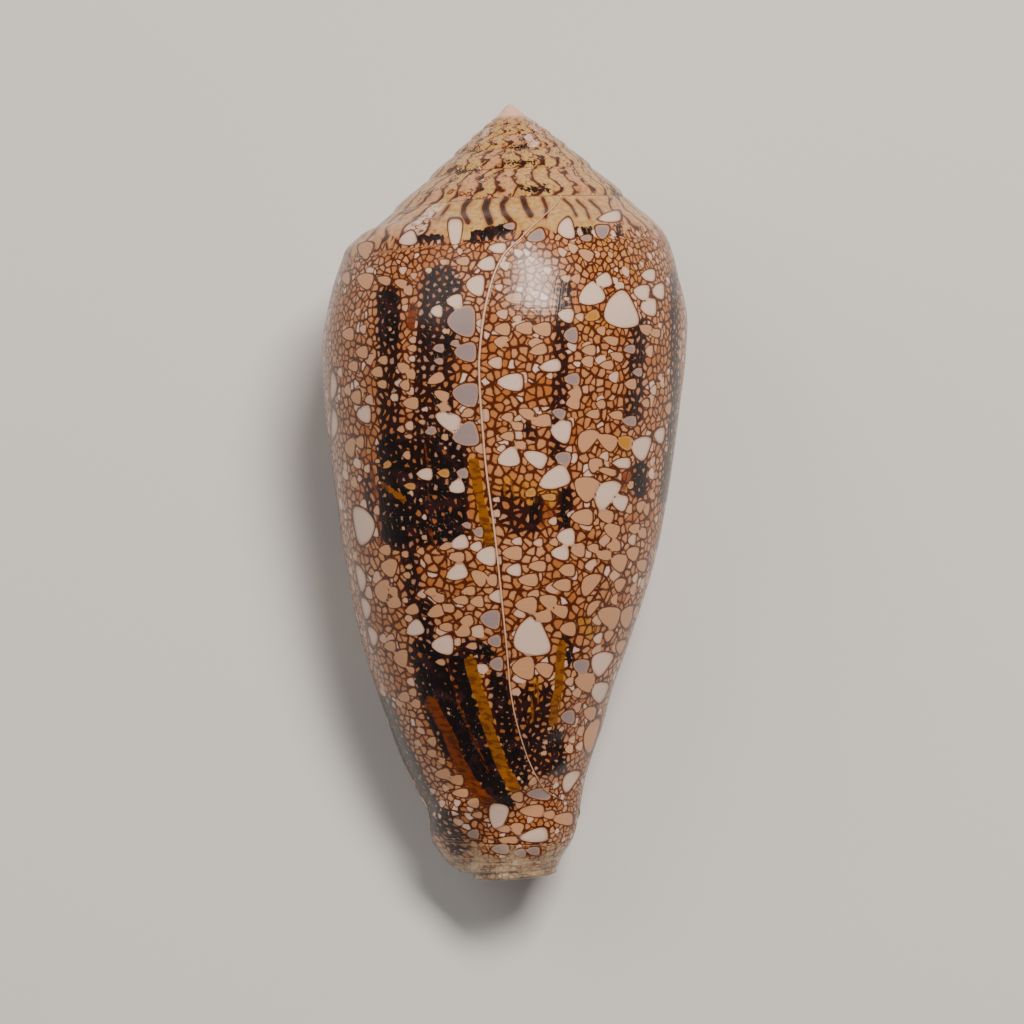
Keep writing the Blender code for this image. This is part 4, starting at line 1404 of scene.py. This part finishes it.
# %% The shell's material
def shell_material():
    """Painted porcelain-like shell with a soft gloss.

    The cells and tents jump to another part of their map at the old lip line, because the
    animal started a new stretch of pattern there.
    """
    material = bpy.data.materials.new("tented_shell")
    material.use_nodes = True
    p = Palette(material)
    growth = p.value("growth_map", out="Vector")
    later = p.math('GREATER_THAN', p.value("scar"), 0.0)
    jump = p.vector('MULTIPLY', later, (41.0, 23.0, 0.0))
    place = p.vector('ADD', p.value("tent_map", out="Vector"), jump)
    way = p.value("growth_way", out="Vector")
    colour, line = body_colour(p, place, way, growth)
    edge = p.math('MULTIPLY_ADD', p.noise(place, 0.6, 1.0), 0.5, p.value("down_ramp"))
    on_last_ramp = p.math('MULTIPLY', p.value("ramp"), p.ease(edge, 1.16, 1.10))
    on_ramp = p.math('MAXIMUM', on_last_ramp, p.value("early"))
    colour = p.blend(on_ramp, colour, spire_colour(p, colour, place, line))
    colour = seen_tents(p, colour, line)
    colour = worn_end(p, colour, growth)
    colour = finish_colour(p, colour, p.split(growth)[1])
    shader = p.nodes["Principled BSDF"]
    p.join(shader.inputs["Base Color"], colour)
    p.join(shader.inputs["Normal"], fine_relief(p, growth))
    shader.inputs["Roughness"].default_value = 0.27
    shader.inputs["Specular IOR Level"].default_value = 0.30
    shader.inputs["Coat Weight"].default_value = 0.06
    shader.inputs["Coat Roughness"].default_value = 0.14
    return material


shell.data.materials.append(shell_material())
print("Material nodes:", len(shell.data.materials[0].node_tree.nodes))

# %% [markdown]
# ## Camera, floor and light
# The camera looks straight down the shell's back, turned with the shell's incline. The
# distance is such that the seams curve as much as they do in the photograph.

# %% Camera
SENSOR = 36.0                # mm, width of the camera's sensor


def add_camera():
    """Camera over the shell's back, with the tip at the top of the picture."""
    camera = bpy.data.cameras.new("camera")
    camera.sensor_width = SENSOR
    camera.lens = SENSOR * CAMERA_DISTANCE / VIEW_WIDTH
    camera.clip_start = 0.01
    thing = bpy.data.objects.new("camera", camera)
    bpy.context.scene.collection.objects.link(thing)
    eye = np.array(VIEW_CENTRE) + np.array((0.0, 0.0, CAMERA_DISTANCE))
    place = Matrix(REST.tolist()).to_4x4()
    place.translation = Vector((REST @ eye + OFFSET) * MM)
    thing.matrix_world = place
    bpy.context.scene.camera = thing


add_camera()
print("Camera distance:", CAMERA_DISTANCE, "mm, width of view:", VIEW_WIDTH, "mm")


# %% Floor and lights
LIT_PLACE = (0.0, -35.0, 8.0)    # mm in the shell's own frame, where the lights aim
FLOOR_HALF = 3.0                 # metres from the middle of the floor to its edge
PALE_FLOOR = (0.72, 0.71, 0.70)
KEY_WHITE = (1.0, 0.92, 0.82)
FILL_WHITE = (1.0, 0.95, 0.89)
SKY_WHITE = (1.0, 0.98, 0.96)


def add_floor():
    """Large plain pale floor."""
    mesh = bpy.data.meshes.new("floor")
    half = FLOOR_HALF
    corners = [(-half, -half, 0), (half, -half, 0), (half, half, 0), (-half, half, 0)]
    mesh.from_pydata(corners, [], [(0, 1, 2, 3)])
    material = bpy.data.materials.new("pale_floor")
    material.use_nodes = True
    shader = material.node_tree.nodes["Principled BSDF"]
    shader.inputs["Base Color"].default_value = (*PALE_FLOOR, 1.0)
    shader.inputs["Roughness"].default_value = 0.75
    mesh.materials.append(material)
    thing = bpy.data.objects.new("floor", mesh)
    bpy.context.scene.collection.objects.link(thing)


def add_light(name, direction, distance, size, power, colour):
    """Soft rectangular light aimed at the shell; direction is in the shell's own frame."""
    light = bpy.data.lights.new(name, 'AREA')
    light.shape = 'RECTANGLE'
    light.size, light.size_y = size
    light.energy = power
    light.color = colour
    thing = bpy.data.objects.new(name, light)
    bpy.context.scene.collection.objects.link(thing)
    aim = Vector((REST @ np.array(LIT_PLACE) + OFFSET) * MM)
    away = Vector(REST @ np.array(direction)).normalized()
    thing.location = aim + away * distance
    thing.rotation_mode = 'QUATERNION'
    thing.rotation_quaternion = away.to_track_quat('Z', 'Y')


def add_world(colour, strength):
    """Even pale surroundings."""
    world = bpy.data.worlds.new("studio")
    world.use_nodes = True
    background = world.node_tree.nodes["Background"]
    background.inputs["Color"].default_value = (*colour, 1.0)
    background.inputs["Strength"].default_value = strength
    bpy.context.scene.world = world


add_floor()
add_light("key", (0.25, 0.50, 0.83), 0.70, (0.26, 0.17), 6.1, KEY_WHITE)
add_light("fill_left", (-0.62, 0.45, 0.64), 0.9, (0.6, 0.6), 2.2, FILL_WHITE)
add_world(SKY_WHITE, 0.14)
